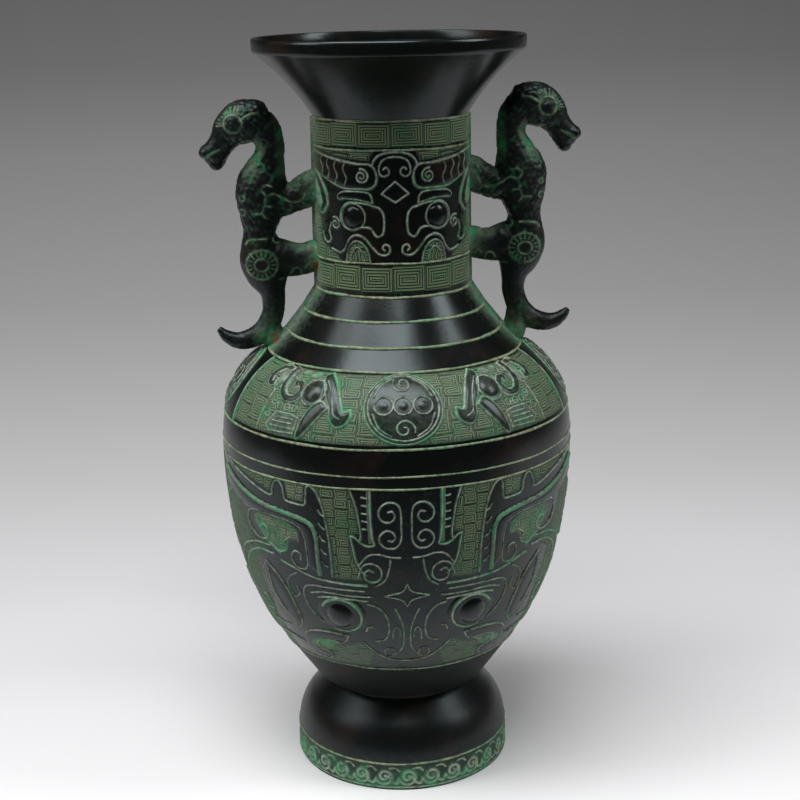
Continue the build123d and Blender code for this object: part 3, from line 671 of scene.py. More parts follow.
def trunkedHead(panel):
    # trunk, tusk and eye
    trunk = [(37.5, 36.6), (33.5, 31.5), (31, 27), (28.6, 21), (26.6, 16.4), (23.4, 17.6), (23, 14),
             (25.4, 10), (29.6, 9.2), (32.4, 12.8), (33.6, 18), (36, 21.5), (38.5, 27), (41, 33.5),
             (37.5, 36.6)]
    tusk = [(34.2, 17.6), (38.2, 11.6), (44.4, 3), (47, 3), (46, 8.6), (44.4, 13.6), (41.5, 18.4),
            (37.5, 20.6), (34.2, 17.6)]
    # painted sheen: the small pale rub on trunk, tusk and eye plate lightens them as if they reflected glossy
    # grey light
    swellShape(panel, trunk, 1.2, 2.4, rub=0.1)
    swellShape(panel, tusk, 1.3, 2.4, rub=0.1)
    raiseThreads(panel, [
        (trunk, 0.55, 0.9),
        (tusk, 0.5, 0.8),
        ([(38, 31), (34.4, 25.6), (32, 19.6), (30.6, 14.6), (27.6, 12.6)], 0.34),
    ])
    swellShape(panel, oval(43.4, 24.4, 6.6, 7.4, 24), 1.0, 2.0, rub=0.1)
    raiseThread(panel, oval(43.4, 24.4, 5.9, 6.8, 24), 0.5)
    ballBoss(panel, 43.4, 24.4, 4.9, 5.6, 2.2)


def trunkedBody(panel):
    # horn curled over, bosses, ribbed block and feather behind the eye
    horn = ribbon([(60.6, 36.4), (62.6, 30), (62, 24), (58, 19.8), (52.6, 20.2), (50.6, 24.6), (53, 28),
                   (56.2, 26.6)], 1.7)
    # painted sheen: the small pale rub on this horn, and on the plume below, stands in for their glossy grey
    # reflection
    swellShape(panel, horn, 1.0, 1.6, rub=0.1)
    raiseThread(panel, horn, 0.4, 0.5)
    for x in (50.6, 55.0, 59.4):
        raiseThread(panel, oval(x, 15.4, 1.5), 0.36)
    block = np.array([(48.6, 4), (47.6, 11.6), (52, 12.6), (60, 12.6), (64.4, 6), (62, 3.4), (48.6, 4)])
    swellShape(panel, block, 0.5, 1.2, green=0.7, rub=0.2)
    raiseThread(panel, block, 0.42)
    for y, far in ((6.0, 61.4), (8.2, 60.6), (10.3, 58.6)):
        raiseThread(panel, [(49.8, y), (far, y)], 0.34)
    raiseThread(panel, [(70, 2.6), (68.6, 14), (67.5, 22.4)], 0.5, 0.8)
    swellShape(panel, oval(66.6, 28, 2.4, 5.2, 12), 1.0, 1.6, green=0.8, rub=0.45)
    raiseThread(panel, oval(66.6, 28, 2.9, 5.7, 12), 0.38)
    plume = ribbon([(64, 34.4), (70, 35), (74.4, 30), (74, 25.6), (70.8, 25), (70.4, 28)], 1.5)
    swellShape(panel, plume, 1.0, 1.5, rub=0.1)
    raiseThread(panel, plume, 0.38)
    for x, y, wide, high in ((46.6, 33.6, 3.4, 2.0), (53.4, 34.2, 2.6, 1.7), (69.6, 36.2, 2.4, 1.2)):
        swellShape(panel, oval(x, y, wide, high, -14), 1.0, 1.4, green=0.9, rub=0.5)
    for x, y, radius, start in ((57.6, 31.6, 2.2, 40), (63.6, 17.6, 2.4, 200), (65.4, 10.8, 2.0, 90),
                                (48.4, 29.8, 1.9, 300)):
        raiseThread(panel, volute(x, y, radius, 1.3, start), 0.36)


def shoulderRelief():
    panel = newPanel(shoulder["quarter"], shoulder["tall"], shoulder["columns"], shoulder["rows"],
                     shoulder["threadScale"])
    edge, border = shoulder["quarter"], shoulder["border"]
    fretShape(panel, [(-border, 2.0), (border, 2.0), (border, 36.8), (-border, 36.8)], 9.8, 5.8, 1.16,
              mirrored=False, strength=0.7, green=0.6, rub=0.1)
    raiseThread(panel, [(border, 0), (border, shoulder["tall"])], 0.7, 0.9)
    for cx in (-edge, 0.0, edge):
        roundel(panel, cx)
    trunkedHead(panel)
    trunkedBody(panel)
    return frontAndBack(finishPanel(panel, shoulder["thread"]))


outline, _ = alongProfile(bands["roundels"], shoulder["rows"])
turnCourses(("shoulderRoundelsLow", "shoulderRoundelsHigh"), outline, denseAngles(shoulder["columns"]),
            shoulderRelief(), "shoulder_dome")
print("shoulder done")


# Belly: one large mask on the front and one on the back

belly = {"quarter": 133.99, "columns": 540, "rows": 264, "thread": 0.7, "threadScale": 0.76, "tarnish": 0.14}


def maskNose(panel, tall):
    # paired volutes, with a feather strip each side
    raiseThread(panel, [(16.2, tall), (16.2, 90), (15.6, 80), (15, 77), (18, 76.3), (21, 77.6), (24, 80.4),
                        (26, 81)], 0.6, 1.0)
    strip = ribbon([(17.0, tall), (17.0, 90), (16.6, 80), (16.8, 77.6)], 0.9)
    swellShape(panel, strip, 0.5, 0.8, green=1.0, rub=0.2)
    raiseThreads(panel, [
        ([(26, 81), (25, 75), (24, 69), (21.5, 63.5), (19.5, 61.2)], 0.6, 0.9),
        ([(25.5, tall), (23, 96), (21.6, 88), (21, 82), (21.6, 78.4)], 0.55, 0.7),
    ])
    for y in (84.6, 88.4, 92.2, 96, 99.8):
        raiseThread(panel, [(17.9, y), (20.2, y + 0.3)], 0.45)
    raiseThread(panel, [(8.4, 93.2), (6.4, 93.6), (5.2, 91.4), (6.4, 89), (9.4, 88.2), (12, 90.4),
                        (12.4, 94), (9.8, 97.2), (6, 97.8), (3.4, 96), (2.4, 92), (2.4, 86), (2.4, 81),
                        (3.4, 77.6), (6, 75.4), (9.8, 75.8), (12.4, 78.6), (12, 82), (9.2, 84.2),
                        (6.4, 83.4), (5.2, 80.8), (6.6, 79), (8.4, 79.4)], 0.55)


def maskBrow(panel):
    # volutes, and the star between the eyes
    raiseThreads(panel, [
        ([(3, 70.6), (8, 71), (13, 72.3), (18, 71.5), (22.6, 66.4)], 0.5),
        ([(7.6, 69.6), (8.6, 64), (10.8, 58.6), (15.4, 55.4)], 0.5),
        ([(23.4, 60), (21, 66), (16.4, 67.4), (12.6, 65), (12.2, 60.6), (15, 57.8), (19, 58.4),
          (20.4, 61.6), (18.4, 64), (16, 63)], 0.55, 0.5),
        ([(0, 56.6), (2.6, 52.5), (11, 50.1)], 0.45),
        ([(11, 50.1), (2.8, 48), (0, 44.5)], 0.45),
    ])


def maskHorn(panel):
    # an upright strip that turns outwards, with a hooked inner end
    horn = [(43, 58.6), (42.8, 70), (43, 79), (44.8, 84), (50, 86.6), (60, 88.2), (75, 89.6), (92, 93),
            (112, 98.4)]
    hornInner = [(112, 92), (96, 86.6), (84, 85), (70, 85), (58, 84.4), (52.4, 82.6), (49.4, 78.6),
                 (48.8, 72), (49, 63.4)]
    swellShape(panel, np.vstack([curve(horn), curve(hornInner)]), 1.0, 2.4)
    swellShape(panel, ribbon(horn, 1.0), 1.3, 0.9, green=0.95, rub=0.42)
    raiseThreads(panel, [
        (hornInner, 0.6),
        ([(49, 63.4), (51.4, 60.6), (56, 61.2), (58.4, 65.4), (56, 69.4), (52.6, 68.4), (53, 65.4)], 0.55),
        ([(58, 76), (62, 73), (60.4, 69.6), (66, 67), (72.6, 70.6)], 0.5, 0.8),
        ([(81, 85), (86.6, 82.6), (88, 77), (82.4, 71.4), (75, 71.2), (72, 75), (74.4, 78.6),
          (78, 77)], 0.6),
        ([(104, 103), (84, 98.4), (68.5, 95), (66.6, 98.6), (65, 102), (62.4, 103), (60, 100), (58.6, 94.6),
          (53, 93.6), (48, 93.8), (47.2, 98), (46.6, 102.4), (44.6, 103.2), (41.4, 100), (38.4, 92),
          (36.4, 76), (36.3, 59)], 0.6, 0.6),
    ])
    for y in (64, 70.4, 76.8, 83.2, 89.6):
        raiseThread(panel, [(38.2, y), (39.8, y + 0.8), (41, y + 2.6)], 0.42)


def maskFace(panel):
    # lines over the eye, then eye, cheek, snout and mouth
    raiseThreads(panel, [
        ([(19.5, 55.5), (30, 55.7), (46, 57), (58, 60.2), (66, 62.2)], 0.7, 0.8),
        ([(21, 52.5), (35, 52.6), (49, 52.4), (53.6, 50.2), (54.8, 45), (52, 37), (46, 31)], 0.55),
        ([(17, 49.6), (27, 49.3), (42, 49.8), (50, 48.2)], 0.6),
    ])
    swellShape(panel, oval(34.5, 37.8, 13.4, 11.0), 1.0, 6.0)
    raiseThreads(panel, [
        (oval(34.5, 37.8, 11.0, 9.4)[3:34], 0.95, 0.9),
        ([(20, 47), (28, 47.6), (38, 47.8), (46, 46.4)], 0.8, 0.6),
    ])
    ballBoss(panel, 35, 37.6, 7.6, 7.2, 3.2)
    cheek = [(20, 45.4), (14.6, 43.6), (10.7, 38.6), (9.5, 32), (10.5, 26.6), (13, 23.4), (17.5, 22.3)]
    raiseThreads(panel, [
        (cheek, 0.55),
        ([(6, 43), (4, 38), (2.2, 32), (1.8, 25), (2.2, 19.5), (4.6, 15.2), (9, 12.6)], 0.5),
        ([(8, 23.6), (7.4, 29.4), (5.6, 32), (3.8, 29.6), (3.6, 25.5)], 0.5),
        ([(25, 20.6), (19, 14.2), (12, 9.8), (5, 8.2), (0, 8)], 0.7, 0.5),
        (oval(10, 14.2, 3.2), 0.5),
        ([(18.6, 31.6), (21, 31.2), (22.2, 28.6)], 0.6),
    ])


def maskSide(panel, tall):
    # jaw, ear and the body curling away to the side
    jaw = [(33, 24.5), (45, 25.4), (56, 24), (63, 20.4), (66.5, 14.5), (65, 8.5), (60, 5.4), (52, 4.6),
           (49, 8), (52, 10.4), (56, 11.2), (57.4, 14.8), (53.6, 18.2), (46, 19.8), (37, 19.6), (33, 24.5)]
    swellShape(panel, jaw, 0.9, 2.2)
    raiseThread(panel, jaw, 0.6, 0.4)
    ear = [(78, 59), (83.4, 51), (81, 40), (74.6, 30), (66.6, 23.6), (62, 29), (63.6, 40), (68.4, 50.4),
           (78, 59)]
    swellShape(panel, ear, 0.9, 4.4)
    raiseThreads(panel, [
        ([(77, 55), (76.6, 44), (71, 33)], 0.45),
        (ear, 0.5, 0.4),
        ([(57, 57.6), (62.6, 54), (64.6, 48.4), (61.6, 43.4), (57.6, 46), (58.6, 50)], 0.5),
    ])
    tail = [(70, 64.6), (84, 63.6), (97, 56), (102, 44), (97, 32), (90, 27.6), (86.6, 31), (89, 36.4),
            (93, 35.6)]
    raiseThreads(panel, [
        (tail, 0.7, 0.5),
        ([(72, 68.6), (86, 66.8), (102, 58.6), (107.6, 43), (100.6, 27), (86, 21.4), (76, 22)], 0.7, 0.5),
        ([(108, 88), (118, 80), (121, 66), (116, 56), (110, 58), (111, 65)], 0.6),
        ([(70, 12), (84, 14), (100, 13), (114, 18), (121, 30), (117, 42), (111, 41), (112, 35)], 0.6),
        ([(127, 0), (127, tall)], 0.7, 0.6),
    ])


def maskGround(panel, tall):
    # squared spirals fill the fields between
    fretShape(panel, [(25.8, tall), (23.6, 96), (22.2, 88), (21.8, 82), (26.6, 81.4), (25.6, 75),
                      (24.6, 69), (22.4, 63.5), (21, 58), (36, 58), (35.8, 75), (37.8, 90), (41, 98.4),
                      (45, tall)], 6.6, 4.7, 1.12)
    fretShape(panel, [(53, 80), (60, 83.8), (78, 84.2), (83, 81), (80, 78), (76.4, 80), (72.2, 78.4),
                      (70.8, 74.6), (72.6, 70.6), (66, 67), (60.4, 69.6), (58, 74.4),
                      (53, 74.6)], 6.6, 4.7, 1.2, green=0.9, rub=0.28)
    fretShape(panel, [(49, 94.8), (57.6, 95.2), (59.4, tall), (47.8, tall)], 6.6, 4.7, 1.2, rub=0.12)
    fretShape(panel, [(69, 96.6), (84, 100), (100, 104), (100, tall), (65.6, tall),
                      (67.4, 100)], 6.6, 4.7, 1.2)
    fretShape(panel, [(85, 2), (127, 2), (127, 101), (116, 99), (113, 91), (94, 85), (90, 72), (72, 66),
                      (88, 58), (84, 36)], 7.4, 5.3, 1.3, green=0.7, strength=0.6)
    fretShape(panel, [(24, 2), (49, 2), (48, 8), (54, 12), (46, 18), (34, 18), (27, 21),
                      (19, 12)], 7.4, 5.3, 1.3, strength=0.6)
    # verdigris pooled under the jaw and in the horn
    for points in ([(50, 10.6), (58, 11.4), (62, 14.6), (56, 18.6), (46, 19.6), (38, 19.4), (45, 15.6)],
                   [(60, 72), (66, 78), (76, 81), (83, 79), (75, 70), (66, 65)]):
        for line in bothSides(np.array(points), True):
            held = insideShape(panel, line)
            panel["green"][held], panel["rub"][held] = 1.0, 0.3


def bellyRelief(tall):
    panel = newPanel(belly["quarter"], tall, belly["columns"], belly["rows"], belly["threadScale"])
    panel["green"] += belly["tarnish"]
    maskNose(panel, tall)
    maskBrow(panel)
    maskHorn(panel)
    maskFace(panel)
    maskSide(panel, tall)
    maskGround(panel, tall)
    return frontAndBack(finishPanel(panel, belly["thread"]))


outline, tall = alongProfile(bands["belly"], belly["rows"])
turnCourses(("bellyMaskFoot", "bellyMaskLow", "bellyMaskMiddle", "bellyMaskTop"), outline,
            denseAngles(belly["columns"]), bellyRelief(tall), "belly_bowl")
print("belly done")


# Foot band: running spirals

foot = {"spirals": 29, "columns": 870, "rows": 36, "thread": 0.6, "rubbing": 0.82,
        "tarnish": 0.4, "damp": 0.42, "dampReach": 3.2}  # greener towards the ground


def footRelief(radius, tall):
    pitch = 2 * math.pi * radius / foot["spirals"]
    panel = newPanel(pitch / 2, tall, foot["columns"] // foot["spirals"], foot["rows"])
    panel["x"] = np.tile(np.linspace(-pitch / 2, pitch / 2, panel["grid"][1]), panel["grid"][0])
    threads = [([(-pitch, 1.4), (pitch, 1.4)], 0.6)]
    for shift in (-pitch, 0, pitch):
        threads += [(volute(shift, 7.0, 4.5, 1.6, 200, 0.14), 0.95, 0.4),
                    ([(shift - 4.2, 5.8), (shift - 5.6, 3.4), (shift - 8.2, 4.4), (shift - 9.4, 7.4)],
                     0.9, 0.4),
                    ([(shift + 2.6, 11.6), (shift + 5.4, 11.9), (shift + 7.4, 10.2)], 0.55)]
    raiseThreads(panel, threads, mirrored=False)
    panel["green"] += foot["tarnish"] + foot["damp"] * np.exp(-panel["y"] / foot["dampReach"])
    panel["rubbing"] = foot["rubbing"]
    fields = finishPanel(panel, foot["thread"])
    return [np.hstack([np.tile(field[:, :-1], foot["spirals"]), field[:, :1]]) for field in fields]


outline, _ = alongProfile(bands["footBand"], foot["rows"])
piece = turnRing("footScrollBand", outline, evenAngles(foot["columns"]), footRelief(*rings["footBand"]))
dress(piece, bodyBronze, "body_bronze", "foot_ring")
print("foot done")


# Ridges: brazed seams and cast string lines, uneven as hand-run wax

ridges = {  # ring, half thickness, how far it stands proud, node
    "mouthSeamRidge": ("mouthFoot", 0.7, 0.1, "mouth_seam_bead"), "neckMaskTopRidge": ("maskTop", 0.6),
    "neckMaskFootRidge": ("maskFoot", 0.6), "neckSeamRidge": ("neckFoot", 0.85, 0.1, "neck_seam_bead"),
    "highStepRidge": ("highStep", 0.85), "lowStepRidge": ("lowStep", 0.85),
    "shoulderRidge": ("shoulder", 0.8), "roundelFootRidge": ("beltTop", 0.65),
    "beltRidge": ("beltFoot", 0.48),
    "bellySeamRidge": ("bellyTop", 0.55, 0, "belly_seam_bead"), "bellyFootRidge": ("bellyFoot", 0.55),
    "footBandRidge": ("footBand", 0.6), "waistRidge": ("waist", 1.0, 0, "waist_seam_bead"),
}


def ridgePiece(name, order, ringName, thick, proud=0, *nodes):
    radius, level = rings[ringName][0] + proud, rings[ringName][1]
    bpy.ops.object.select_all(action="DESELECT")
    bpy.ops.mesh.primitive_torus_add(major_radius=radius * mm, minor_radius=thick * mm, major_segments=300,
                                     minor_segments=10, location=(0, 0, level * mm))
    piece = bpy.context.object
    piece.name = piece.data.name = name
    bpy.ops.object.transform_apply(location=True, rotation=True, scale=True)
    place = readPoints(piece) / mm
    angle = np.arctan2(place[:, 0], -place[:, 1])
    out = np.hypot(place[:, 0], place[:, 1]) - radius
    fat = (0.86 + 0.1 * np.sin(9 * angle + order) + 0.08 * np.sin(23 * angle + 2.2 * order)
           + 0.05 * np.sin(41 * angle - order))
    sway = 0.1 * np.sin(5 * angle + 1.7 * order) + 0.06 * np.sin(13 * angle - 2.3 * order)
    ring = radius + handWobble(angle, level) + out * fat
    rise = (place[:, 2] - level) * fat + sway
    movePoints(piece, np.column_stack([ring * np.sin(angle), -ring * np.cos(angle), level + rise]) * mm)
    faded = 0.0 if name == "waistRidge" else 1.0  # the waist ridge gets no pale crest and no green, so it stays dark
    crest, green = np.clip(0.4 + out / thick * 0.5, 0, 1), np.clip(0.7 - 0.3 * out / thick, 0, 1)
    paintPatina(piece, faded * crest, faded * green)
    bpy.ops.object.shade_smooth()
    dress(piece, seamBraze, "seam_braze", *nodes)


for order, (name, ridge) in enumerate(ridges.items()):
    ridgePiece(name, order, *ridge)
print("ridges done")


# Handles: a standing beast each side, from lofted limbs run together and drawn on with raised lines

beast = {  # stations of each limb: reach, rise, half height, half width
    "tail": [(24.2, 11.7, 1.4, 1.4), (20.8, 8.1, 2.9, 2.9), (16.0, 5.7, 4.0, 3.8), (10.4, 5.9, 4.7, 4.4),
             (4.4, 8.5, 5.2, 4.8), (-0.4, 13.9, 5.4, 5.2)],
    "haunch": [(21.6, -25.6, 5.4, 5.4), (21.8, -18.0, 6.2, 6.2), (23.6, -10.4, 10.0, 8.2),
               (25.6, -1.6, 11.4, 9.4), (26.6, 6.2, 9.4, 8.6)],
    "chest": [(26.8, -20.2, 7.8, 7.8), (26.0, -12.2, 10.3, 8.6), (25.2, -3.6, 12.4, 9.6),
              (24.2, 3.4, 12.0, 9.2), (22.6, 9.4, 9.6, 8.0), (20.8, 15.6, 7.3, 6.8), (20.4, 21.0, 6.9, 6.6),
              (22.0, 26.4, 7.6, 7.0), (25.4, 31.5, 7.6, 7.2)],
    "head": [(20.5, 36.5, 4.6, 4.0), (23.5, 35.0, 7.4, 6.8), (28.0, 33.0, 9.6, 8.8), (33.6, 31.0, 10.2, 9.6),
             (38.6, 27.4, 8.8, 8.6), (42.0, 23.0, 6.6, 6.8), (44.8, 19.0, 6.2, 6.0), (46.9, 16.4, 6.7, 5.6),
             (48.3, 15.0, 6.9, 4.8)],
    "foreleg": [(-1.2, 0.0, 8.6, 8.0), (1.6, -0.3, 8.6, 7.6), (6.0, -2.4, 7.8, 6.6), (10.5, -4.4, 7.4, 6.6),
                (16.0, -5.2, 8.4, 7.4), (23.0, -4.6, 9.4, 8.0)],
    "hindleg": [(-1.2, -0.8, 8.0, 8.0), (1.6, -0.8, 7.6, 7.4), (6.0, -2.0, 7.6, 6.6), (12.0, -2.2, 8.4, 6.8),
                (18.0, -1.0, 9.2, 7.8), (24.0, 0.0, 9.8, 8.2)],
    "muzzle": [(50.9, 17.6, 2.9), (47.2, 16.1, 4.6), (45.9, 12.4, 3.4)],  # reach, rise, radius
    "muzzleHalf": 4.6, "eye": (36.8, 31.3), "ear": (31.0, 36.8),
    "eyeBall": (7.0, 3.3, 2.6, 3.3), "earBall": (6.4, 5.6, 2.2, 1.7),  # off the middle, then half sizes
    "seat": [(56.4, 216.3, 6.2, 5.0), (58.2, 218.4, 6.0, 5.0), (59.4, 222.0, 5.6, 4.9),
             (60.4, 226.6, 5.4, 5.0)],  # radius and level, from inside the shoulder up to the tail
    "wheel": (26.1, -3.2),  # the disc with rays on the rump
    "upperLeg": 293.0, "lowerLeg": 261.0, "stagger": 2.5,  # right handle up, left handle down
    "voxel": 0.48, "soften": (0.5, 9), "lineHeight": 0.3, "pebble": 0.24,
}
neckSkin = rings["neckFoot"][0]


def tubePiece(name, stations, around=28, perSpan=5):
    path = curve(stations, perSpan)
    rows = len(path) + 1
    centres = np.vstack([path[:1], path, path[-1:]])
    lean = np.gradient(path[:, :2], axis=0)
    lean /= np.hypot(*lean.T)[:, None]
    lean = np.vstack([lean[:1], lean, lean[-1:]])
    piece, column, row = gridPiece(name, around, rows)
    turn = 2 * math.pi * (column % around) / around
    swell = np.where((row == 0) | (row == rows), 0.0, 1.0)
    high, wide = centres[row, 2] * swell, centres[row, 3] * swell
    place = np.column_stack([centres[row, 0] - lean[row, 1] * high * np.cos(turn), wide * np.sin(turn),
                             centres[row, 1] + lean[row, 0] * high * np.cos(turn)])
    movePoints(piece, place * mm)
    settleMesh(piece)
    return piece


def shifted(stations, radius, level):
    return [(radius + s[0], level + s[1], s[2], s[3]) for s in stations]


def ballPiece(x, y, z, rx, ry, rz):
    bpy.ops.object.select_all(action="DESELECT")
    bpy.ops.mesh.primitive_uv_sphere_add(segments=24, ring_count=14, radius=1.0,
                                         location=(x * mm, y * mm, z * mm), scale=(rx * mm, ry * mm, rz * mm))
    piece = bpy.context.object
    bpy.ops.object.transform_apply(location=True, rotation=True, scale=True)
    return piece


def beastPiece(name, lift):
    upper, lower = beast["upperLeg"] + lift, beast["lowerLeg"] + lift
    ring, ringLevel = rings["shoulder"]
    spine = (shifted(beast["tail"], ring, ringLevel + lift) + shifted(beast["haunch"], neckSkin, lower)
             + shifted(beast["chest"], neckSkin, upper))
    seat = [(x, z + share * lift, high, wide)
            for (x, z, high, wide), share in zip(beast["seat"], (0, 0, 0.5, 1))]
    limbs = [tubePiece("spine", spine)]
    for limb, level in (("head", upper), ("foreleg", upper), ("hindleg", lower)):
        limbs.append(tubePiece(limb, shifted(beast[limb], neckSkin, level)))
    limbs.append(tubePiece("tailSeat", seat))
    for side in (-1, 1):
        for part in ("eye", "ear"):
            (x, z), (y, *size) = beast[part], beast[part + "Ball"]
            limbs.append(ballPiece(neckSkin + x, side * y, upper + z, *size))
    for x, z, size in beast["muzzle"]:
        limbs.append(ballPiece(neckSkin + x, 0, upper + z, size, beast["muzzleHalf"], size))
    bpy.ops.object.select_all(action="DESELECT")
    for limb in limbs:
        limb.select_set(True)
    bpy.context.view_layer.objects.active = limbs[0]
    bpy.ops.object.join()
    piece = bpy.context.object
    piece.name = piece.data.name = name
    piece.data.remesh_voxel_size = beast["voxel"] * mm
    bpy.ops.object.voxel_remesh()
    soften = piece.modifiers.new("soften", "SMOOTH")
    soften.factor, soften.iterations = beast["soften"]
    bpy.ops.object.modifier_apply(modifier="soften")
    return piece


def beastLines():
    drop = beast["lowerLeg"] - beast["upperLeg"]
    eye, wheel = beast["eye"], (beast["wheel"][0], beast["wheel"][1] + drop)
    lines = [  # from the upper leg, each with its half width
        (oval(*eye, 4.2), 0.6), ([(32.4, 33.4), (28.6, 35.6), (25.2, 36.0)], 0.5),
        ([(51.4, 14.8), (47.4, 17.6), (43.4, 19.4)], 0.5),
        ([(29.1, -11), (25.1, -10.3), (23.7, -6.8), (22.4, -2.8), (18.8, -1.5), (14.9, -4.1), (10.5, -5.9),
          (6.1, -5), (4.3, -1.9)], 0.5),
        ([(25.1, -10.3), (23.4, -12.8)], 0.45), ([(23.7, -6.8), (20.6, -7.4)], 0.45),
        ([(22.4, -2.8), (24.6, 0.6), (22.6, 2.6), (20, 2)], 0.45), ([(6.1, -5), (4.6, -7.4)], 0.45),
        ([(14.9, -8.5), (13.1, -10.2), (10.9, -8.9), (11.4, -6.7)], 0.45),
        (oval(34.4, -10.3, 1.5), 0.4), (oval(34.0, -3.6, 1.2), 0.4), (oval(18.6, 8.6 + drop, 1.8), 0.4),
        (oval(*wheel, 7.4, 7.0), 0.5), (oval(*wheel, 3.4, 3.0), 0.5),
    ]
    for points, half in (([(33.4, 6.6), (31.2, 8.6), (23.6, 9.2)], 0.5), ([(18, -10.6), (14.6, -10.2)], 0.45),
                         ([(12.4, -7.9), (10.6, -5.3), (8, -5.7), (7, -8.9), (3.5, -10.2)], 0.5),
                         ([(5.6, -5.6), (3.6, -3.6), (2.4, -5.4)], 0.45)):
        lines.append(([(x, y + drop) for x, y in points], half))  # from the lower leg
    lashes = [math.radians(-8 + 13 * k + 3 * math.sin(5 * k)) for k in range(12)]  # over the brow
    spokes = [2 * math.pi * k / 16 for k in range(16)]  # of the wheel
    for (x, y), angles, (nearX, nearY, farX, farY) in (
            (eye, lashes, (5.4, 5.2, 8.4, 7.8)), (wheel, spokes, (5.0, 4.6, 8.0, 7.6))):
        for a in angles:
            c, s = math.cos(a), math.sin(a)
            lines.append(([(x + nearX * c, y + nearY * s), (x + farX * c, y + farY * s)], 0.34))
    return lines


def drawBeast(piece, lift):
    upper = beast["upperLeg"] + lift
    place, facing = readPoints(piece) / mm, readPoints(piece, "normal")
    panel = {"x": place[:, 0] - neckSkin, "y": place[:, 2] - upper}
    thread = np.full(len(place), 9.0)
    for points, half in beastLines():
        near, distance = nearLine(panel, curve(points), 4 * half)
        thread[near] = np.minimum(thread[near], distance / half)
    flank = np.clip((np.abs(facing[:, 1]) - 0.35) / 0.3, 0, 1)
    worn = 0.72 + 0.28 * np.sin(0.9 * panel["x"] + 1.3) * np.sin(0.7 * panel["y"] + 0.4)
    crest = np.clip(1 - thread ** 2, 0, 1) * flank * worn
    # pebbled skin: crossing waves at uneven angles, knocked off at the top
    waves = (((1.9, 0.7, 0.9), 0.3, 0.6), ((-0.8, 1.6, 1.7), 1.9, 0.6), ((0.6, -1.5, 2.1), 4.0, 0.5),
             ((2.2, 0.4, -1.4), 2.6, 0.5), ((0.5, 0.9, -0.6), 5.2, 0.9), ((0.7, -0.4, 0.8), 1.1, 0.9))
    pebbles = sum(size * np.sin(place @ np.array(way) + shift) for way, shift, size in waves) / 1.7
    pebbles = np.clip(pebbles, -1.0, 0.7)
    rough = 0.35 + 0.65 * np.clip((panel["y"] + 30) / 12, 0, 1) * np.clip((46 - panel["x"]) / 6, 0, 1)
    rise = beast["lineHeight"] * crest + beast["pebble"] * pebbles * rough * (1 - crest)
    place = place + facing * rise[:, None]
    beside = 0.5 * np.exp(-((thread - 1.4) / 0.6) ** 2) * flank
    collar = np.exp(-np.clip(panel["x"], 0, None) / 3.2)
    inward = np.clip((facing[:, 0] - 0.2) / 0.4, 0, 1) * np.clip((35 - panel["x"]) / 2, 0, 1)
    throat = np.maximum(np.exp(-(((panel["x"] - 29.5) / 3.6) ** 2 + ((panel["y"] - 15) / 7.0) ** 2)),
                        inward * np.exp(-((panel["y"] - 16) / 8.0) ** 2))
    legTop = np.clip((facing[:, 2] - 0.45) / 0.4, 0, 1) * np.clip((17 - panel["x"]) / 6, 0, 1)
    seat = np.exp(-np.clip(place[:, 2] - 220, 0, None) / 6.0) * np.clip((70 - place[:, 0]) / 6, 0, 1)
    hollow = np.clip(-pebbles - 0.1, 0, 1) * rough
    mane = np.clip((18.5 - panel["x"]) / 4, 0, 1) * np.clip((panel["y"] - 4) / 4, 0, 1)
    green = (0.06 + beside + 0.9 * collar + 0.9 * throat + 0.5 * legTop + 0.8 * seat + 0.45 * hollow
             + 0.95 * mane)
    rubbed = 0.85 * crest + 0.5 * collar + 0.45 * throat + 0.4 * legTop + 0.35 * seat + 0.2 * mane
    paintPatina(piece, rubbed, green)
    movePoints(piece, place * mm)


for word, lift in (("right", beast["stagger"]), ("left", -beast["stagger"])):
    piece = beastPiece(word + "BeastHandle", lift)
    drawBeast(piece, lift)
    if word == "left":  # both are built on the right
        bpy.ops.object.mode_set(mode="EDIT")
        bpy.ops.mesh.select_all(action="SELECT")
        bpy.ops.transform.mirror(orient_type="GLOBAL", constraint_axis=(True, False, False),
                                 center_override=(0, 0, 0))
        bpy.ops.mesh.normals_make_consistent(inside=False)
        bpy.ops.object.mode_set(mode="OBJECT")
    bpy.ops.object.shade_smooth()
    dress(piece, handleBronze, "handle_bronze", word + "_beast_handle", word + "_saddle_pads")
print("handles done")


# CAD nodes that stay: floor plate, its braze and the fixings of the handles

for node in ("floor_plate", "floor_braze", "left_tenon_washers", "right_tenon_washers", "left_tail_dowel",
             "right_tail_dowel"):
    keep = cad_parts[node]
    keep.data.materials.clear()
    keep.data.materials.append(seamBraze if node == "floor_braze" else innerBronze)
print("inner nodes done")


# Stage, light and camera

stage = {"near": -0.9, "bend": 0.45, "far": 1.55, "half": 1.9, "length": 3.6}
bpy.ops.object.select_all(action="DESELECT")
bpy.ops.mesh.primitive_grid_add(x_subdivisions=2, y_subdivisions=60, size=1.0)
sweep = bpy.context.object
sweep.name = sweep.data.name = "paperSweep"
flat = readPoints(sweep)
along = (flat[:, 1] + 0.5) * stage["length"] + stage["near"]
radius = stage["far"] - stage["bend"]
turn = np.clip((along - stage["bend"]) / radius, 0, math.pi / 2)
rise = np.clip(along - stage["bend"] - radius * math.pi / 2, 0, None)
back = np.minimum(along, stage["bend"]) + radius * np.sin(turn)
movePoints(sweep, np.column_stack([flat[:, 0] * 2 * stage["half"], back, radius * (1 - np.cos(turn)) + rise]))
bpy.ops.object.shade_smooth()
# painted shade: the paper's colour darkens towards the camera and up the wall, standing in for the fall of
# light on the sweep
paper = bpy.data.materials.new("sweepPaperWithPaintedShade")  # matt studio paper, darker up the wall
paper.use_nodes = True
tree = paper.node_tree
tree.nodes.clear()
where = addNode(tree, "SeparateXYZ", [addNode(tree, "TexCoord")["Object"]])
depth = addNode(tree, "Math", [where["Y"], where["Z"]], operation="ADD")[0]
shade = addNode(tree, "MapRange", [depth, -0.6, 2.2])[0]
ramp = addNode(tree, "ValToRGB", [shade])[0]
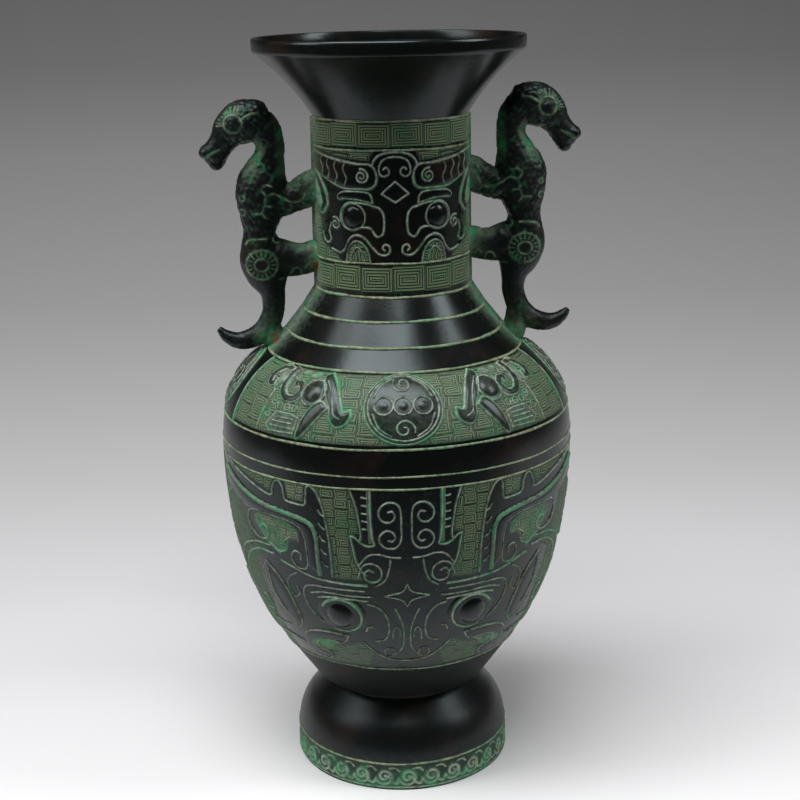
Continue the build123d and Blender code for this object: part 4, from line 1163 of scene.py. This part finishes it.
# painted shade in the paper's colour: dark in front of the vase, white under it, darker again up the wall
paintedShadeTones = ((0.0, "#555657"), (0.12, "#8e8e8f"), (0.17, "#f9f9fa"), (0.23, "#f0eff1"), (0.29, "#d9d8da"),
         (0.4, "#cbcacb"), (0.53, "#aeadae"), (0.66, "#9b9a9a"), (0.74, "#838282"), (1.0, "#5a5959"))
stops = ramp.node.color_ramp.elements
stops[0].color, stops[1].color = linearColour(paintedShadeTones[0][1]), linearColour(paintedShadeTones[-1][1])
for spot, tone in paintedShadeTones[1:-1]:
    stops.new(spot).color = linearColour(tone)
matt = addNode(tree, "BsdfPrincipled", {"Base Color": ramp, "Roughness": 0.9, "Specular IOR Level": 0.1})[0]
addNode(tree, "OutputMaterial", [matt])
sweep.data.materials.append(paper)

lamps = {
    "leftSoftbox": {"at": (-0.98, -0.22, 1.02), "size": (0.5, 0.7), "watts": 5.0},
    "rightSoftbox": {"at": (1.02, -0.26, 0.98), "size": (0.4, 0.6), "watts": 5.4},
    "topSoftbox": {"at": (-0.2, -0.35, 1.4), "size": (1.1, 0.6), "watts": 18.0},
}
aim = Vector((0, 0, 0.2))
for name, lamp in lamps.items():
    light = bpy.data.lights.new(name, "AREA")
    light.shape, light.size, light.size_y, light.energy = "RECTANGLE", *lamp["size"], lamp["watts"]
    body = bpy.data.objects.new(name, light)
    bpy.context.scene.collection.objects.link(body)
    body.location = lamp["at"]
    body.rotation_euler = (aim - Vector(lamp["at"])).to_track_quat("-Z", "Y").to_euler()
room = {"colour": "#d8dade", "strength": 0.1}
world = bpy.data.worlds.new("softRoom")
world.use_nodes = True
glow = world.node_tree.nodes["Background"].inputs
glow["Color"].default_value, glow["Strength"].default_value = linearColour(room["colour"]), room["strength"]
bpy.context.scene.world = world

view = {"distance": 0.72986, "height": 0.38886, "pitch": 15.645, "roll": 1.155, "yaw": 2.5, "lens": 69.02,
        "sensor": 36.0, "shift": 0.00525}
camera = bpy.data.objects.new("camera", bpy.data.cameras.new("camera"))
bpy.context.scene.collection.objects.link(camera)
pitch, roll, yaw = (math.radians(view[k]) for k in ("pitch", "roll", "yaw"))
ahead = Vector((math.sin(yaw) * math.cos(pitch), math.cos(yaw) * math.cos(pitch), -math.sin(pitch)))
right = Vector((math.cos(yaw), -math.sin(yaw), 0))
up = right.cross(ahead)
right, up = right * math.cos(roll) - up * math.sin(roll), up * math.cos(roll) + right * math.sin(roll)
camera.matrix_world = Matrix((
    (right.x, up.x, -ahead.x, -view["distance"] * math.sin(yaw)),
    (right.y, up.y, -ahead.y, -view["distance"] * math.cos(yaw)),
    (right.z, up.z, -ahead.z, view["height"]),
    (0, 0, 0, 1),
))
camera.data.lens, camera.data.sensor_width, camera.data.shift_x = view["lens"], view["sensor"], view["shift"]
bpy.context.scene.camera = camera
bpy.context.scene.view_settings.view_transform = "Standard"
print("stage, light and camera ready")
